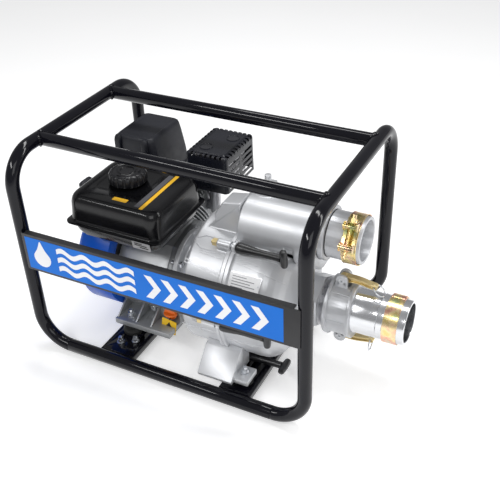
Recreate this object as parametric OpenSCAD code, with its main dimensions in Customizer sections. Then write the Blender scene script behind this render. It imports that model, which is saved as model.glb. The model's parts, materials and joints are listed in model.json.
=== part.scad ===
// Gas engine trash pump in a tubular carrying frame.
// Frame of reference: +X from the recoil starter to the pump ports, +Y to the air filter side,
// +Z up. The origin is on the ground, under the middle of the tubular frame.

/* [Frame] */
// Length of the frame between tube axes
frame_length = 600; // [596:1:612]
// Width of the frame between tube axes
frame_width = 428; // [426:1:440]
// Height of the frame between tube axes
frame_height = 427; // [425:1:445]
// Outside diameter of the frame tube
tube_d = 27; // [26:0.5:27.5]
// Wall of the frame tube
tube_wall = 2; // [1.5:0.1:3]
// Bend radius of the frame tube at its axis
bend_r = 66; // [60:1:70]
// Distance of each top bar from the middle
top_bar_y = 120; // [118:1:125]

/* [Pump] */
// Outside radius of the pump casing
drum_r = 138; // [136:0.5:139]
// Outside radius of the discharge spigot
spigot_r = 44.5; // [43:0.5:45]
// Outside radius of the suction hose shank
shank_r = 44.5; // [43:0.5:45]

/* [Engine] */
// Piston diameter
bore_d = 68; // [66:0.5:70]
// Piston travel
stroke = 54; // [50:1:55]
// Tilt of the cylinder above level
cylinder_tilt = 25; // [24:0.5:26]

/* [Hidden] */
$fn = 48;

black = [0.05, 0.05, 0.06];
dark_plastic = [0.13, 0.13, 0.15];
cast_silver = [0.78, 0.79, 0.80];
engine_grey = [0.55, 0.56, 0.57];
steel = [0.72, 0.73, 0.75];
zinc_gold = [0.78, 0.66, 0.36];
brass = [0.80, 0.66, 0.30];
blue = [0.10, 0.30, 0.85];
orange = [0.95, 0.40, 0.05];
rubber = [0.08, 0.08, 0.08];

tube_r = tube_d / 2;
half_l = frame_length / 2;
half_w = frame_width / 2;
rail_z = tube_r;
top_z = rail_z + frame_height;
slip = 0.05;

// Crankshaft and pump axis
axis_y = -30;
axis_z = 160;
shaft_r = 12.5;

// Main planes along the shaft
crankcase_x0 = -165;
crankcase_x1 = -50;
adapter_x0 = -36;
drum_x0 = 15;
parting_x = 104;
dome_x0 = 168;
neck_x = 226;
neck_end_x = 240;
cylinder_x = -105;
plate_top = 20;
plate_t = 4;
foot_z = 50;

// Fuel tank
tank_x0 = -231;
tank_x1 = -14;
tank_y0 = -171;
tank_y1 = 18;
tank_seam_z = 296;
tank_top_z = 354;
tank_bottom_z = 262;
cap_x = -140;
cap_y = -68;

// Discharge chamber
chamber_z = 302;
chamber_r = 58;
port_z = 319;
port_face_x = 262;
spigot_x0 = 274;
spigot_x1 = 340;

// Suction side
union_x0 = neck_end_x;
union_x1 = 278;
coupler_x1 = 330;
shank_x0 = 334;
shank_x1 = 432;
lever_pivot_x = 300;
lever_pivot_r = 66;

handle_count = 6;
handle_ring_r = 150;
handle_x0 = 70;
handle_x1 = 210;
handle_rod_r = 5;
boss_r = 9;

// ---- shared shapes ----

// Cylinder along X
module x_cyl(x0, x1, r, y = axis_y, z = axis_z) {
    translate([x0, y, z])
        rotate([0, 90, 0])
            cylinder(h = x1 - x0, r = r);
}

// Cylinder along Y
module y_cyl(y0, y1, r, x, z) {
    translate([x, y0, z])
        rotate([-90, 0, 0])
            cylinder(h = y1 - y0, r = r);
}

// Cylinder along Z
module z_cyl(z0, z1, r, x, y) {
    translate([x, y, z0])
        cylinder(h = z1 - z0, r = r);
}

// Hexagonal prism along X
module x_hex(x0, x1, r, y, z) {
    translate([x0, y, z])
        rotate([0, 90, 0])
            cylinder(h = x1 - x0, r = r, $fn = 6);
}

// Hexagonal prism along Z
module z_hex(z0, z1, r, x, y) {
    translate([x, y, z0])
        cylinder(h = z1 - z0, r = r, $fn = 6);
}

// Box given by its low and high corners
module span(low, high) {
    translate(low)
        cube(high - low);
}

// Ring along X
module x_ring(x0, x1, r_out, r_in, y = axis_y, z = axis_z) {
    difference() {
        x_cyl(x0, x1, r_out, y, z);
        x_cyl(x0 - 1, x1 + 1, r_in, y, z);
    }
}

// Solid of revolution about an axis along X, from [radius, x] points
module x_turned(points, y = axis_y, z = axis_z) {
    translate([0, y, z])
        rotate([0, 90, 0])
            rotate_extrude($fn = 96)
                polygon(points);
}

// Point on the pump's bolt ring
function on_ring(angle, r) = [axis_y + r * cos(angle), axis_z + r * sin(angle)];

// Places children with +Z along the cylinder axis, out of the crankshaft
module along_cylinder() {
    translate([cylinder_x, axis_y, axis_z])
        rotate([cylinder_tilt - 90, 0, 0])
            children();
}

// Rounded box with vertical edges of radius r
module upright_block(low, high, r) {
    translate([(low[0] + high[0]) / 2, (low[1] + high[1]) / 2, low[2]])
        linear_extrude(high[2] - low[2])
            rounded_rect(high[0] - low[0], high[1] - low[1], r);
}

// Rectangle with round corners
module rounded_rect(w, d, r) {
    square([w - 2 * r, d], center = true);
    square([w, d - 2 * r], center = true);
    for (sx = [-1, 1], sy = [-1, 1])
        translate([sx * (w / 2 - r), sy * (d / 2 - r)])
            circle(r);
}

// ---- frame ----

module tube_section() {
    difference() {
        circle(tube_r);
        circle(tube_r - tube_wall);
    }
}

module tube_run(length) {
    linear_extrude(length)
        tube_section();
}

// Quarter bend in the XY plane, from +X round to +Y
module tube_bend() {
    rotate_extrude(angle = 90, $fn = 96)
        translate([bend_r, 0])
            tube_section();
}

// Arch over the end of the frame, with its feet turned along the bottom rails
module hoop() {
    for (side = [-1, 1]) {
        translate([-(half_l - bend_r), side * half_w, rail_z + bend_r])
            rotate([90, 0, 0])
                rotate([0, 0, 180])
                    tube_bend();
        translate([-half_l, side * half_w, rail_z + bend_r])
            tube_run(frame_height - 2 * bend_r);
        translate([-half_l, side * (half_w - bend_r), top_z - bend_r])
            mirror([0, side < 0 ? 1 : 0, 0])
                rotate([90, 0, 90])
                    tube_bend();
    }
    translate([-half_l, -(half_w - bend_r), top_z])
        rotate([-90, 0, 0])
            tube_run(frame_width - 2 * bend_r);
}

module left_hoop() {
    color(black)
        hoop();
}

module right_hoop() {
    color(black)
        mirror([1, 0, 0])
            hoop();
}

module bottom_rails() {
    color(black)
        for (side = [-1, 1])
            translate([-(half_l - bend_r), side * half_w, rail_z])
                rotate([0, 90, 0])
                    tube_run(frame_length - 2 * bend_r);
}

// Top bars, coped over the crossbars that they are welded to
module top_bars() {
    color(black)
        difference() {
            for (side = [-1, 1])
                translate([-half_l, side * top_bar_y, top_z])
                    rotate([0, 90, 0])
                        tube_run(frame_length);
            for (end = [-1, 1])
                y_cyl(-half_w, half_w, tube_r + slip, end * half_l, top_z);
        }
}

banner_z0 = 206;
banner_z1 = 290;
banner_t = 2;
banner_lip = 12;

// Folded sheet across the front posts
module banner_plate() {
    face_y = -half_w - tube_r;
    color(black) {
        span([10 - half_l, face_y - banner_t, banner_z0], [half_l - 3, face_y, banner_z1]);
        for (z = [banner_z0, banner_z1 - banner_t])
            span([tube_r + 2 - half_l, face_y, z], [half_l - tube_r - 2, face_y + banner_lip, z + banner_t]);
    }
}

engine_plate_x = [-166, -88];
pump_plate_x = [112, 180];
flange_drop = 10;
flange_t = 3;
engine_mount_x = -135;
engine_mounts_y = [-124, 58];
pump_mount_x = 154;
pump_mounts_y = [-165, 105];
stud_r = 4;
stud_hole_r = 4.5;
spare_bolts = [[-138, -168], [-111, -153]];

module cross_plate(x_range) {
    end_y = half_w - tube_r + 0.2;
    span([x_range[0], -end_y, plate_top - plate_t], [x_range[1], end_y, plate_top]);
    for (x = [x_range[0], x_range[1] - flange_t])
        span([x, -end_y + 4, plate_top - plate_t - flange_drop],
            [x + flange_t, end_y - 4, plate_top - plate_t]);
}

// The two channels that carry the engine and the pump
module cross_plates() {
    color(black)
        difference() {
            union() {
                cross_plate(engine_plate_x);
                cross_plate(pump_plate_x);
            }
            for (y = engine_mounts_y)
                z_cyl(0, foot_z, stud_hole_r, engine_mount_x, y);
            for (y = pump_mounts_y)
                z_cyl(0, foot_z, stud_hole_r, pump_mount_x, y);
            for (p = spare_bolts)
                z_cyl(0, foot_z, stud_hole_r, p[0], p[1]);
        }
}

engine_mount_r = 21;
pump_mount_r = 15;
pump_foot_z = 33;

// Rubber isolator with a waist and a through hole
module isolator(z1, r, x, y) {
    waist = (z1 - plate_top) / 4;
    translate([x, y, 0])
        rotate_extrude()
            polygon([[stud_hole_r, plate_top], [r, plate_top], [r, plate_top + waist],
                [r - 2.5, plate_top + 1.5 * waist], [r - 2.5, z1 - 1.5 * waist], [r, z1 - waist],
                [r, z1], [stud_hole_r, z1]]);
}

module rubber_mounts() {
    color(rubber) {
        for (y = engine_mounts_y)
            isolator(foot_z, engine_mount_r, engine_mount_x, y);
        for (y = pump_mounts_y)
            isolator(pump_foot_z, pump_mount_r, pump_mount_x, y);
    }
}

foot_t = 12;
pump_foot_t = 11;

// Stud with a nut above and a head below
module stud(x, y, clamp_z, nut_r = 7.5) {
    z_cyl(plate_top - plate_t - 6, clamp_z + 14, stud_r, x, y);
    z_hex(plate_top - plate_t - 6, plate_top - plate_t, nut_r, x, y);
    z_cyl(clamp_z, clamp_z + 1.5, nut_r + 2, x, y);
    z_hex(clamp_z + 1.5, clamp_z + 8, nut_r, x, y);
}

module mount_fasteners() {
    color(steel) {
        for (y = engine_mounts_y)
            stud(engine_mount_x, y, foot_z + foot_t);
        for (y = pump_mounts_y)
            stud(pump_mount_x, y, pump_foot_z + pump_foot_t);
        for (p = spare_bolts)
            stud(p[0], p[1], plate_top, 6.5);
    }
}

// ---- engine ----

barrel_end = 126;
fin_r = 55;
fin_pitch = 8;
head_end = barrel_end + 34;
rocker_end = head_end + 26;
case_top_z = 238;
crank_room_r = 56;

// Outline of the crankcase seen along the shaft, as [y, z] points
case_outline = [[-90, foot_z], [-90, 62], [-104, 95], [-104, 185], [-70, 225], [-20, case_top_z],
    [20, case_top_z], [45, 220], [45, foot_z]];

module along_shaft(x0, x1) {
    translate([x0, 0, 0])
        rotate([90, 0, 90])
            linear_extrude(x1 - x0)
                children();
}

filler_x = -46;
filler_y = -104;
filler_z = 84;
filler_r = 9;
filler_top = 98;

// Block with its feet, the finned barrel and the crank chamber
module crankcase() {
    color(engine_grey)
        difference() {
            union() {
                along_shaft(crankcase_x0, crankcase_x1)
                    polygon(case_outline);
                span([crankcase_x0 + 5, -148, foot_z], [crankcase_x1 + 22, -89, foot_z + foot_t]);
                span([crankcase_x0 + 5, 44, foot_z], [crankcase_x1, 74, foot_z + foot_t]);
                span([crankcase_x1 - 25, filler_y, foot_z + 4], [crankcase_x1 + 22, -90, filler_top]);
                along_cylinder()
                    barrel_shell();
            }
            x_cyl(crankcase_x0 + 10, crankcase_x1 + 1, crank_room_r);
            x_cyl(crankcase_x0 - 1, crankcase_x1, bearing_r);
            along_cylinder()
                cylinder(h = barrel_end + 1, r = bore_d / 2);
            for (y = engine_mounts_y)
                z_cyl(0, foot_z + foot_t + 1, stud_hole_r, engine_mount_x, y);
            y_cyl(filler_y - 2, filler_y + 10, filler_r + slip, filler_x, filler_z);
        }
}

bearing_r = shaft_r + 0.05;

module barrel_shell() {
    cylinder(h = barrel_end, r = bore_d / 2 + 7);
    for (i = [0 : 4])
        translate([0, 0, barrel_end - 6 - i * fin_pitch])
            cylinder(h = 3, r = fin_r);
}

adapter_bolt_r = 70;
adapter_angles = [35, 145, 215, 325];
bolt_hole_r = 4.2;

// Cover over the open side of the crankcase, with the output bearing
module side_cover() {
    color(engine_grey) {
        difference() {
            along_shaft(crankcase_x1, adapter_x0)
                polygon(case_outline);
            x_cyl(crankcase_x1 - 1, adapter_x0 + 1, bearing_r);
            span([crankcase_x1 - 1, -110, foot_z - 1], [adapter_x0 + 1, -89, filler_top + 1]);
            adapter_holes(adapter_x0 - 10, adapter_x0 + 1);
        }
    }
}

head_half = 41;
plug_r = 6.5;
plug_x = 30;
rocker_x = -12;

// Finned head that closes the barrel
module cylinder_head() {
    color(engine_grey)
        along_cylinder()
            difference() {
                union() {
                    translate([-head_half, -head_half, barrel_end])
                        cube([2 * head_half, 2 * head_half, head_end - barrel_end]);
                    for (i = [0 : 3])
                        translate([-head_half, -fin_r, barrel_end + 2 + i * fin_pitch])
                            cube([2 * head_half, 2 * fin_r, 3]);
                }
                translate([0, 0, barrel_end - 1])
                    cylinder(h = 13, r = bore_d / 2 - 4);
                translate([plug_x, 0, head_end - 12])
                    cylinder(h = 13, r = plug_r);
            }
}

// Pressed cover over the valve gear
module rocker_cover() {
    color(steel)
        along_cylinder()
            translate([rocker_x, 0, head_end])
                difference() {
                    union() {
                        linear_extrude(4)
                            rounded_rect(58, 84, 10);
                        linear_extrude(rocker_end - head_end)
                            rounded_rect(50, 74, 10);
                    }
                    translate([0, 0, -1])
                        linear_extrude(rocker_end - head_end - 2)
                            rounded_rect(45, 69, 8);
                }
}

crank_throw = stroke / 2;
rod_length = 90;
piston_crown = crank_throw + rod_length + 8;
piston_length = 24;
ring_gap = 4.5;

module piston() {
    color(steel)
        along_cylinder()
            difference() {
                translate([0, 0, piston_crown - piston_length])
                    cylinder(h = piston_length, r = bore_d / 2 - 0.05);
                translate([0, 0, piston_crown - piston_length - 1])
                    cylinder(h = piston_length - 6, r = bore_d / 2 - 5);
                for (z = [5, 5 + ring_gap, 5 + 2 * ring_gap])
                    translate([0, 0, piston_crown - z])
                        difference() {
                            cylinder(h = 1.6, r = bore_d / 2 + 1);
                            cylinder(h = 1.6, r = bore_d / 2 - 2);
                        }
                translate([-bore_d, 0, piston_crown - piston_length + 4])
                    rotate([0, 90, 0])
                        cylinder(h = 2 * bore_d, r = 7);
            }
}

web_r = 40;
web_t = 12;
pin_r = 12;
shaft_x0 = -222;
impeller_x = 78;

// Crankshaft, extended through the pump seal to carry the impeller
module crankshaft() {
    pin = [axis_y + crank_throw * cos(cylinder_tilt), axis_z + crank_throw * sin(cylinder_tilt)];
    color(steel) {
        x_cyl(shaft_x0, cylinder_x - 14 - web_t, shaft_r);
        x_cyl(cylinder_x - 14 - web_t, cylinder_x - 14, web_r);
        x_cyl(cylinder_x - 14, cylinder_x + 14, pin_r, pin[0], pin[1]);
        x_cyl(cylinder_x + 14, cylinder_x + 14 + web_t, web_r);
        x_cyl(cylinder_x + 14 + web_t, impeller_x + 8, shaft_r);
    }
}

flywheel_x0 = -212;
flywheel_x1 = -176;
flywheel_r = 88;
blade_count = 16;
cup_r = 34;

// Flywheel with its cooling blades and the starter cup
module flywheel() {
    color(engine_grey)
        difference() {
            union() {
                x_cyl(flywheel_x0 + 18, flywheel_x1, flywheel_r);
                x_cyl(flywheel_x0, flywheel_x1, 30);
                for (i = [0 : blade_count - 1])
                    translate([0, axis_y, axis_z])
                        rotate([i * 360 / blade_count, 0, 0])
                            span([flywheel_x0, -1.5, 50], [flywheel_x0 + 18, 1.5, flywheel_r - 3]);
                x_cyl(shaft_x0, flywheel_x0, cup_r);
            }
            x_cyl(shaft_x0 - 1, flywheel_x1 + 1, shaft_r);
            x_ring(shaft_x0 - 1, flywheel_x0, cup_r - 3, shaft_r + 6);
        }
}

shroud_x0 = -232;
shroud_r = 118;
shroud_top = 258;
shroud_wall = 2.5;

// Region below the tank that the shroud keeps to
module below_tank(x0, x1, top) {
    span([x0, axis_y - 200, axis_z - 200], [x1, axis_y + 200, top]);
}

// Pressed shroud that guides the cooling air round the flywheel
module fan_shroud() {
    color(blue)
        difference() {
            intersection() {
                x_cyl(shroud_x0, crankcase_x0, shroud_r);
                below_tank(shroud_x0 - 1, crankcase_x0 + 1, shroud_top);
            }
            intersection() {
                x_cyl(shroud_x0 + shroud_wall, crankcase_x0 - shroud_wall, shroud_r - shroud_wall);
                below_tank(shroud_x0, crankcase_x0, shroud_top - shroud_wall);
            }
            x_cyl(crankcase_x0 - 5, crankcase_x0 + 1, 90);
            x_cyl(shroud_x0 - 1, shroud_x0 + 5, 84);
        }
    color(black)
        difference() {
            span([switch_x - 14, switch_y0, switch_z - 18], [switch_x + 14, axis_y - 90, switch_z + 18]);
            x_cyl(switch_x - 15, switch_x + 15, shroud_r);
        }
}

recoil_x0 = -252;
recoil_r = 112;
post_r = 8;
slot_count = 24;

// Domed cover of the recoil starter, with air slots round its face
module recoil_cover() {
    color(blue)
        difference() {
            union() {
                difference() {
                    x_turned([[0, recoil_x0], [78, recoil_x0], [recoil_r - 6, recoil_x0 + 8],
                        [recoil_r, shroud_x0], [0, shroud_x0]]);
                    x_turned([[0, recoil_x0 + 3], [77, recoil_x0 + 3], [recoil_r - 9, recoil_x0 + 10.5],
                        [recoil_r - 4, shroud_x0 + 1], [0, shroud_x0 + 1]]);
                }
                x_cyl(recoil_x0 + 1, shroud_x0 + 4, post_r);
                span([recoil_x0 + 2, grip_y - 8, 250], [shroud_x0, grip_y + 8, guide_top]);
            }
            for (i = [0 : slot_count - 1])
                translate([0, axis_y, axis_z])
                    rotate([i * 360 / slot_count, 0, 0])
                        span([recoil_x0 - 1, -3, 58], [recoil_x0 + 20, 3, 74]);
            z_cyl(240, guide_top + 1, 4, grip_x, grip_y);
        }
}

groove_r = 42;
rope_r = 2.5;
grip_x = recoil_x0 + 11;
grip_y = axis_y - groove_r - rope_r - 0.2;
guide_top = 304;
grip_half = 25;
grip_rest_z = guide_top + 0.5;

module recoil_pulley() {
    color(dark_plastic)
        difference() {
            union() {
                x_cyl(recoil_x0 + 4, recoil_x0 + 7, 50);
                x_cyl(recoil_x0 + 7, recoil_x0 + 15, groove_r);
                x_cyl(recoil_x0 + 15, recoil_x0 + 18, 50);
            }
            x_cyl(recoil_x0, shroud_x0 + 5, post_r + slip);
        }
}

// Pull grip with its rope
module recoil_grip() {
    color(black) {
        z_cyl(165, grip_rest_z + 6, rope_r, grip_x, grip_y);
        z_cyl(grip_rest_z, grip_rest_z + 22, 7, grip_x, grip_y);
        y_cyl(grip_y - grip_half, grip_y + grip_half, 8.5, grip_x, grip_rest_z + 26);
    }
}

// ---- fuel tank ----

tank_corner = 22;
seam_lip = 6;
tank_edge = 16;
flange_corner = 18;

// Hull of four upright corners between two heights, drawn in by inset at the end away from the seam
module tank_half(z_seam, z_end, inset, edge) {
    low = min(z_seam, z_end);
    hull() {
        for (x = [tank_x0 + seam_lip + tank_corner, tank_x1 - seam_lip - tank_corner],
             y = [tank_y0 + seam_lip + tank_corner, tank_y1 - seam_lip - tank_corner]) {
            translate([x, y, z_seam < z_end ? z_seam : z_seam - 1])
                cylinder(h = 1, r = tank_corner, $fn = 32);
        }
        for (x = [tank_x0 + inset + tank_corner, tank_x1 - inset - tank_corner],
             y = [tank_y0 + inset + tank_corner, tank_y1 - inset - tank_corner]) {
            translate([x, y, z_seam < z_end ? z_end - edge : z_end + edge])
                sphere(r = edge, $fn = 24);
        }
    }
}

cap_base_z = tank_top_z;
neck_r = 22;
tank_posts = [[-150, -14], [-70, -14]];

// Fuel tank: two pressings joined at a flat seam, with the filler neck and the mounting posts
module fuel_tank() {
    color(black)
        difference() {
            union() {
                tank_half(tank_seam_z, tank_top_z, 2, tank_edge);
                tank_half(tank_seam_z, tank_bottom_z, 10, 10);
                translate([(tank_x0 + tank_x1) / 2, (tank_y0 + tank_y1) / 2, tank_seam_z - 2])
                    linear_extrude(4)
                        rounded_rect(tank_x1 - tank_x0, tank_y1 - tank_y0, flange_corner);
                z_cyl(tank_top_z - 8, cap_base_z + 6, neck_r, cap_x, cap_y);
                for (p = tank_posts)
                    z_cyl(case_top_z, tank_bottom_z + 20, 7, p[0], p[1]);
                z_cyl(shroud_top, tank_bottom_z + 20, 7, tank_x0 + 40, axis_y);
            }
            span([tank_x0 + 36, tank_y0 + 36, tank_bottom_z + 4],
                [tank_x1 - 36, tank_y1 - 36, tank_top_z - 8]);
            z_cyl(tank_top_z - 20, cap_base_z + 7, neck_r - 4, cap_x, cap_y);
        }
}

cap_r = 38;
cap_h = 19;
cap_grips = 16;

// Screw cap with a scalloped rim
module fuel_cap() {
    color(dark_plastic)
        difference() {
            union() {
                z_cyl(cap_base_z + 8, cap_base_z + 8 + cap_h, cap_r, cap_x, cap_y);
                z_cyl(cap_base_z + 1, cap_base_z + 8, cap_r - 3, cap_x, cap_y);
            }
            for (i = [0 : cap_grips - 1])
                z_cyl(cap_base_z + 8, cap_base_z + 8 + cap_h + 1, 3,
                    cap_x + (cap_r + 1) * cos(i * 360 / cap_grips),
                    cap_y + (cap_r + 1) * sin(i * 360 / cap_grips));
            z_cyl(cap_base_z, cap_base_z + 12, neck_r + 0.3, cap_x, cap_y);
        }
}

// ---- carburettor side ----

carb_x0 = -222;
carb_x1 = -165;
carb_y = 104;
carb_z = 226;
bowl_x = -193;
bowl_y = 111;
block_y1 = 130;

module carburetor() {
    color(steel) {
        difference() {
            union() {
                x_cyl(carb_x0, carb_x1 + 4, 20, carb_y, carb_z);
                x_cyl(carb_x1, cylinder_x - head_half, 16, carb_y, carb_z);
                span([-216, carb_y - 8, carb_z - 26], [-180, block_y1, carb_z + 15]);
                z_cyl(carb_z + 10, filter_z0, 12, carb_x0 + 14, carb_y + 6);
            }
            x_cyl(carb_x0 + 30, cylinder_x, 11, carb_y, carb_z);
        }
        z_cyl(carb_z - 50, carb_z - 24, 17, bowl_x, bowl_y);
    }
}

lever_gap = 0.3;

// Flat lever lying in the XY plane, with its pivot at the origin and a knob at its end
module flat_lever(length) {
    cylinder(h = 4, r = 6);
    translate([0, -3.5, 0])
        cube([length, 7, 4]);
    translate([length, 0, 0])
        cylinder(h = 8, r = 6);
}

lever_y = block_y1 + lever_gap;
choke_pivot = [-212, 240];
fuel_pivot = [-200, 208];

// Places a flat lever on the back of the carburettor, at [x, z], pointing at an angle above +X
module back_lever(pivot, length, angle) {
    translate([pivot[0], lever_y, pivot[1]])
        rotate([-90, -angle, 0])
            flat_lever(length);
}

module choke_lever() {
    color(dark_plastic)
        back_lever(choke_pivot, 32, 200);
}

module fuel_valve_lever() {
    color(dark_plastic)
        back_lever(fuel_pivot, 30, 185);
}

throttle_pivot_x = -182;

module throttle_lever() {
    color(dark_plastic)
        translate([throttle_pivot_x, carb_y, carb_z + 20 + lever_gap])
            rotate([0, 0, 80])
                flat_lever(40);
}

filter_x0 = -258;
filter_x1 = -150;
filter_y0 = 54;
filter_y1 = 182;
filter_z0 = 262;
filter_z1 = 280;
filter_top_z = 378;

// Tray under the air filter
module air_filter_base() {
    color(dark_plastic)
        difference() {
            upright_block([filter_x0 - 3, filter_y0 - 3, filter_z0],
                [filter_x1 + 3, filter_y1 + 3, filter_z1], 14);
            upright_block([filter_x0 + 2, filter_y0 + 2, filter_z0 + 3],
                [filter_x1 - 2, filter_y1 - 2, filter_z1 + 1], 10);
            z_cyl(filter_z0 - 1, filter_z0 + 4, 9, carb_x0 + 14, carb_y + 6);
        }
}

// Moulded cover over the filter element
module air_filter_cover() {
    edge = 14;
    color(dark_plastic)
        difference() {
            hull() {
                for (x = [filter_x0 + edge, filter_x1 - edge], y = [filter_y0 + edge, filter_y1 - edge])
                    translate([x, y, filter_z1])
                        cylinder(h = 1, r = edge, $fn = 32);
                for (x = [filter_x0 + edge + 1, filter_x1 - edge - 15],
                     y = [filter_y0 + edge + 2, filter_y1 - edge - 3])
                    translate([x, y, filter_top_z - edge])
                        sphere(r = edge, $fn = 24);
            }
            span([filter_x0 + 12, filter_y0 + 12, filter_z1 - 1],
                [filter_x1 - 30, filter_y1 - 16, filter_top_z - 20]);
        }
}

// ---- exhaust ----

muffler_x0 = -82;
muffler_x1 = 12;
muffler_y0 = 54;
muffler_y1 = 180;
muffler_z0 = 288;
muffler_top_z = 372;

exhaust_x = -48;
exhaust_y = 107;
exhaust_z = 224;

// Silencer box and its pipe from the head
module muffler() {
    color(engine_grey) {
        upright_block([muffler_x0 + 10, muffler_y0 + 10, muffler_z0], [muffler_x1 - 10, muffler_y1 - 10,
            muffler_top_z - 12], 18);
        z_cyl(exhaust_z - 12, muffler_z0, 12, exhaust_x, exhaust_y);
        x_cyl(cylinder_x + head_half, exhaust_x, 12, exhaust_y, exhaust_z);
    }
}

slot_w = 4;

// Perforated guard round the muffler
module muffler_guard() {
    wall = 2;
    color(dark_plastic)
        difference() {
            upright_block([muffler_x0, muffler_y0, muffler_z0 + 4],
                [muffler_x1, muffler_y1, muffler_top_z], 12);
            upright_block([muffler_x0 + wall, muffler_y0 + wall, muffler_z0],
                [muffler_x1 - wall, muffler_y1 - wall, muffler_top_z - wall], 10);
            for (i = [0 : 8])
                span([muffler_x0 + 14 + i * 8, muffler_y0 - 1, muffler_top_z - 8],
                    [muffler_x0 + 14 + i * 8 + slot_w, muffler_y1 + 1, muffler_top_z - 3]);
            for (y = [70, 122], i = [0 : 4])
                span([muffler_x1 - 4, y, 300 + i * 11], [muffler_x1 + 1, y + 44, 300 + i * 11 + 5]);
        }
}

// Spark plug with its rubber cap
module spark_plug() {
    along_cylinder()
        translate([plug_x, 0, head_end]) {
            color(steel) {
                translate([0, 0, -12])
                    cylinder(h = 12, r = plug_r - slip);
                cylinder(h = 9, r = 11, $fn = 6);
            }
            color(rubber)
                translate([0, 0, 9])
                    cylinder(h = 24, r = 9);
        }
}

switch_x = -199;
switch_z = 172;
switch_y0 = axis_y - shroud_r - 8;

// Rotary engine switch
module stop_switch() {
    color([0.8, 0.1, 0.05]) {
        y_cyl(switch_y0 - 6, switch_y0 - lever_gap, 10, switch_x, switch_z);
        span([switch_x - 3, switch_y0 - 12, switch_z - 10], [switch_x + 3, switch_y0 - 5, switch_z + 10]);
    }
}

// Winged oil filler cap in the front of the crankcase
module oil_cap() {
    color(orange)
        translate([filler_x, filler_y, filler_z]) {
            y_cyl(-lever_gap - 1, 8, filler_r, 0, 0);
            y_cyl(-10, -lever_gap, 14, 0, 0);
            span([-14, -17, -3], [14, -9, 3]);
        }
}

// ---- pump ----

drum_wall = 7;
seal_r = 24;
ring_lip = 6;
ring_t = 7;
flat_z = 21.8;

// Keeps what is above the flat under the casing
module above_flat() {
    span([-100, -400, flat_z], [400, 400, 600]);
}

// Places children on the T-handle ring, once for each T-handle
module each_handle() {
    for (i = [0 : handle_count - 1])
        rotate_about_axis(i * 360 / handle_count)
            children();
}

// Bosses that the T-handle rods pass through, with webs to the drum
module rod_bosses(x0, x1) {
    each_handle() {
        x_cyl(x0, x1, boss_r, handle_ring_r, 0);
        span([x0, drum_r - 3, 1 - boss_r], [x1, handle_ring_r, boss_r - 1]);
    }
}

module rod_holes(x0, x1) {
    each_handle()
        x_cyl(x0 - 1, x1 + 1, handle_rod_r + slip, handle_ring_r, 0);
}

// Outline of the gusset beside the discharge chamber, as [x, z] points
gusset_outline = [[34, 262], [34, 292], [parting_x, 356], [parting_x, 262]];
gusset_y = [-66, 6];

// Rear half of the casing, with the neck that bolts to the engine
module rear_casing() {
    color(cast_silver)
        difference() {
            union() {
                intersection() {
                    x_turned([[46, adapter_x0], [80, adapter_x0],
                        [80, adapter_x0 + 11], [60, adapter_x0 + 11],
                        [60, drum_x0 - 10], [80, drum_x0], [drum_r - 8, drum_x0], [drum_r, drum_x0 + 8],
                        [drum_r, parting_x - ring_t], [drum_r + ring_lip, parting_x - ring_t],
                        [drum_r + ring_lip, parting_x], [drum_r - drum_wall, parting_x],
                        [drum_r - drum_wall, drum_x0 + 14], [drum_r - 20, drum_x0 + 8],
                        [seal_r, drum_x0 + 8], [seal_r, drum_x0], [52, drum_x0 - 4], [52, adapter_x0 + 6],
                        [46, adapter_x0 + 6]]);
                    above_flat();
                }
                rod_bosses(handle_x0 + 6, parting_x);
                difference() {
                    translate([0, gusset_y[1], 0])
                        rotate([90, 0, 0])
                            linear_extrude(gusset_y[1] - gusset_y[0])
                                polygon(gusset_outline);
                    x_cyl(0, parting_x + 1, drum_r - 1);
                }
            }
            adapter_holes(adapter_x0 - 1, adapter_x0 + 13);
            rod_holes(handle_x0, parting_x);
        }
}

// Four bolt holes on the joint between the engine and the pump
module adapter_holes(x0, x1) {
    for (a = adapter_angles)
        x_cyl(x0, x1, bolt_hole_r, on_ring(a, adapter_bolt_r)[0], on_ring(a, adapter_bolt_r)[1]);
}

module adapter_bolts() {
    color(steel)
        for (a = adapter_angles) {
            p = on_ring(a, adapter_bolt_r);
            x_cyl(adapter_x0 - 9, adapter_x0 + 12, bolt_hole_r - 0.2, p[0], p[1]);
            x_hex(adapter_x0 + 11, adapter_x0 + 17, 7.5, p[0], p[1]);
        }
}

seal_t = 2;

module casing_seal() {
    color(rubber)
        intersection() {
            x_ring(parting_x, parting_x + seal_t, drum_r + 1, drum_r - drum_wall + 1);
            above_flat();
        }
}

front_x0 = parting_x + seal_t;
neck_r_out = 50;
port_bore = 38;

// Outline of the domed end as [radius, x] points on an ellipse
function dome(r, length, steps) =
    [for (i = [0 : steps]) [52 + (r - 52) * cos(90 * i / steps), dome_x0 + length * sin(90 * i / steps)]];

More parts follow.
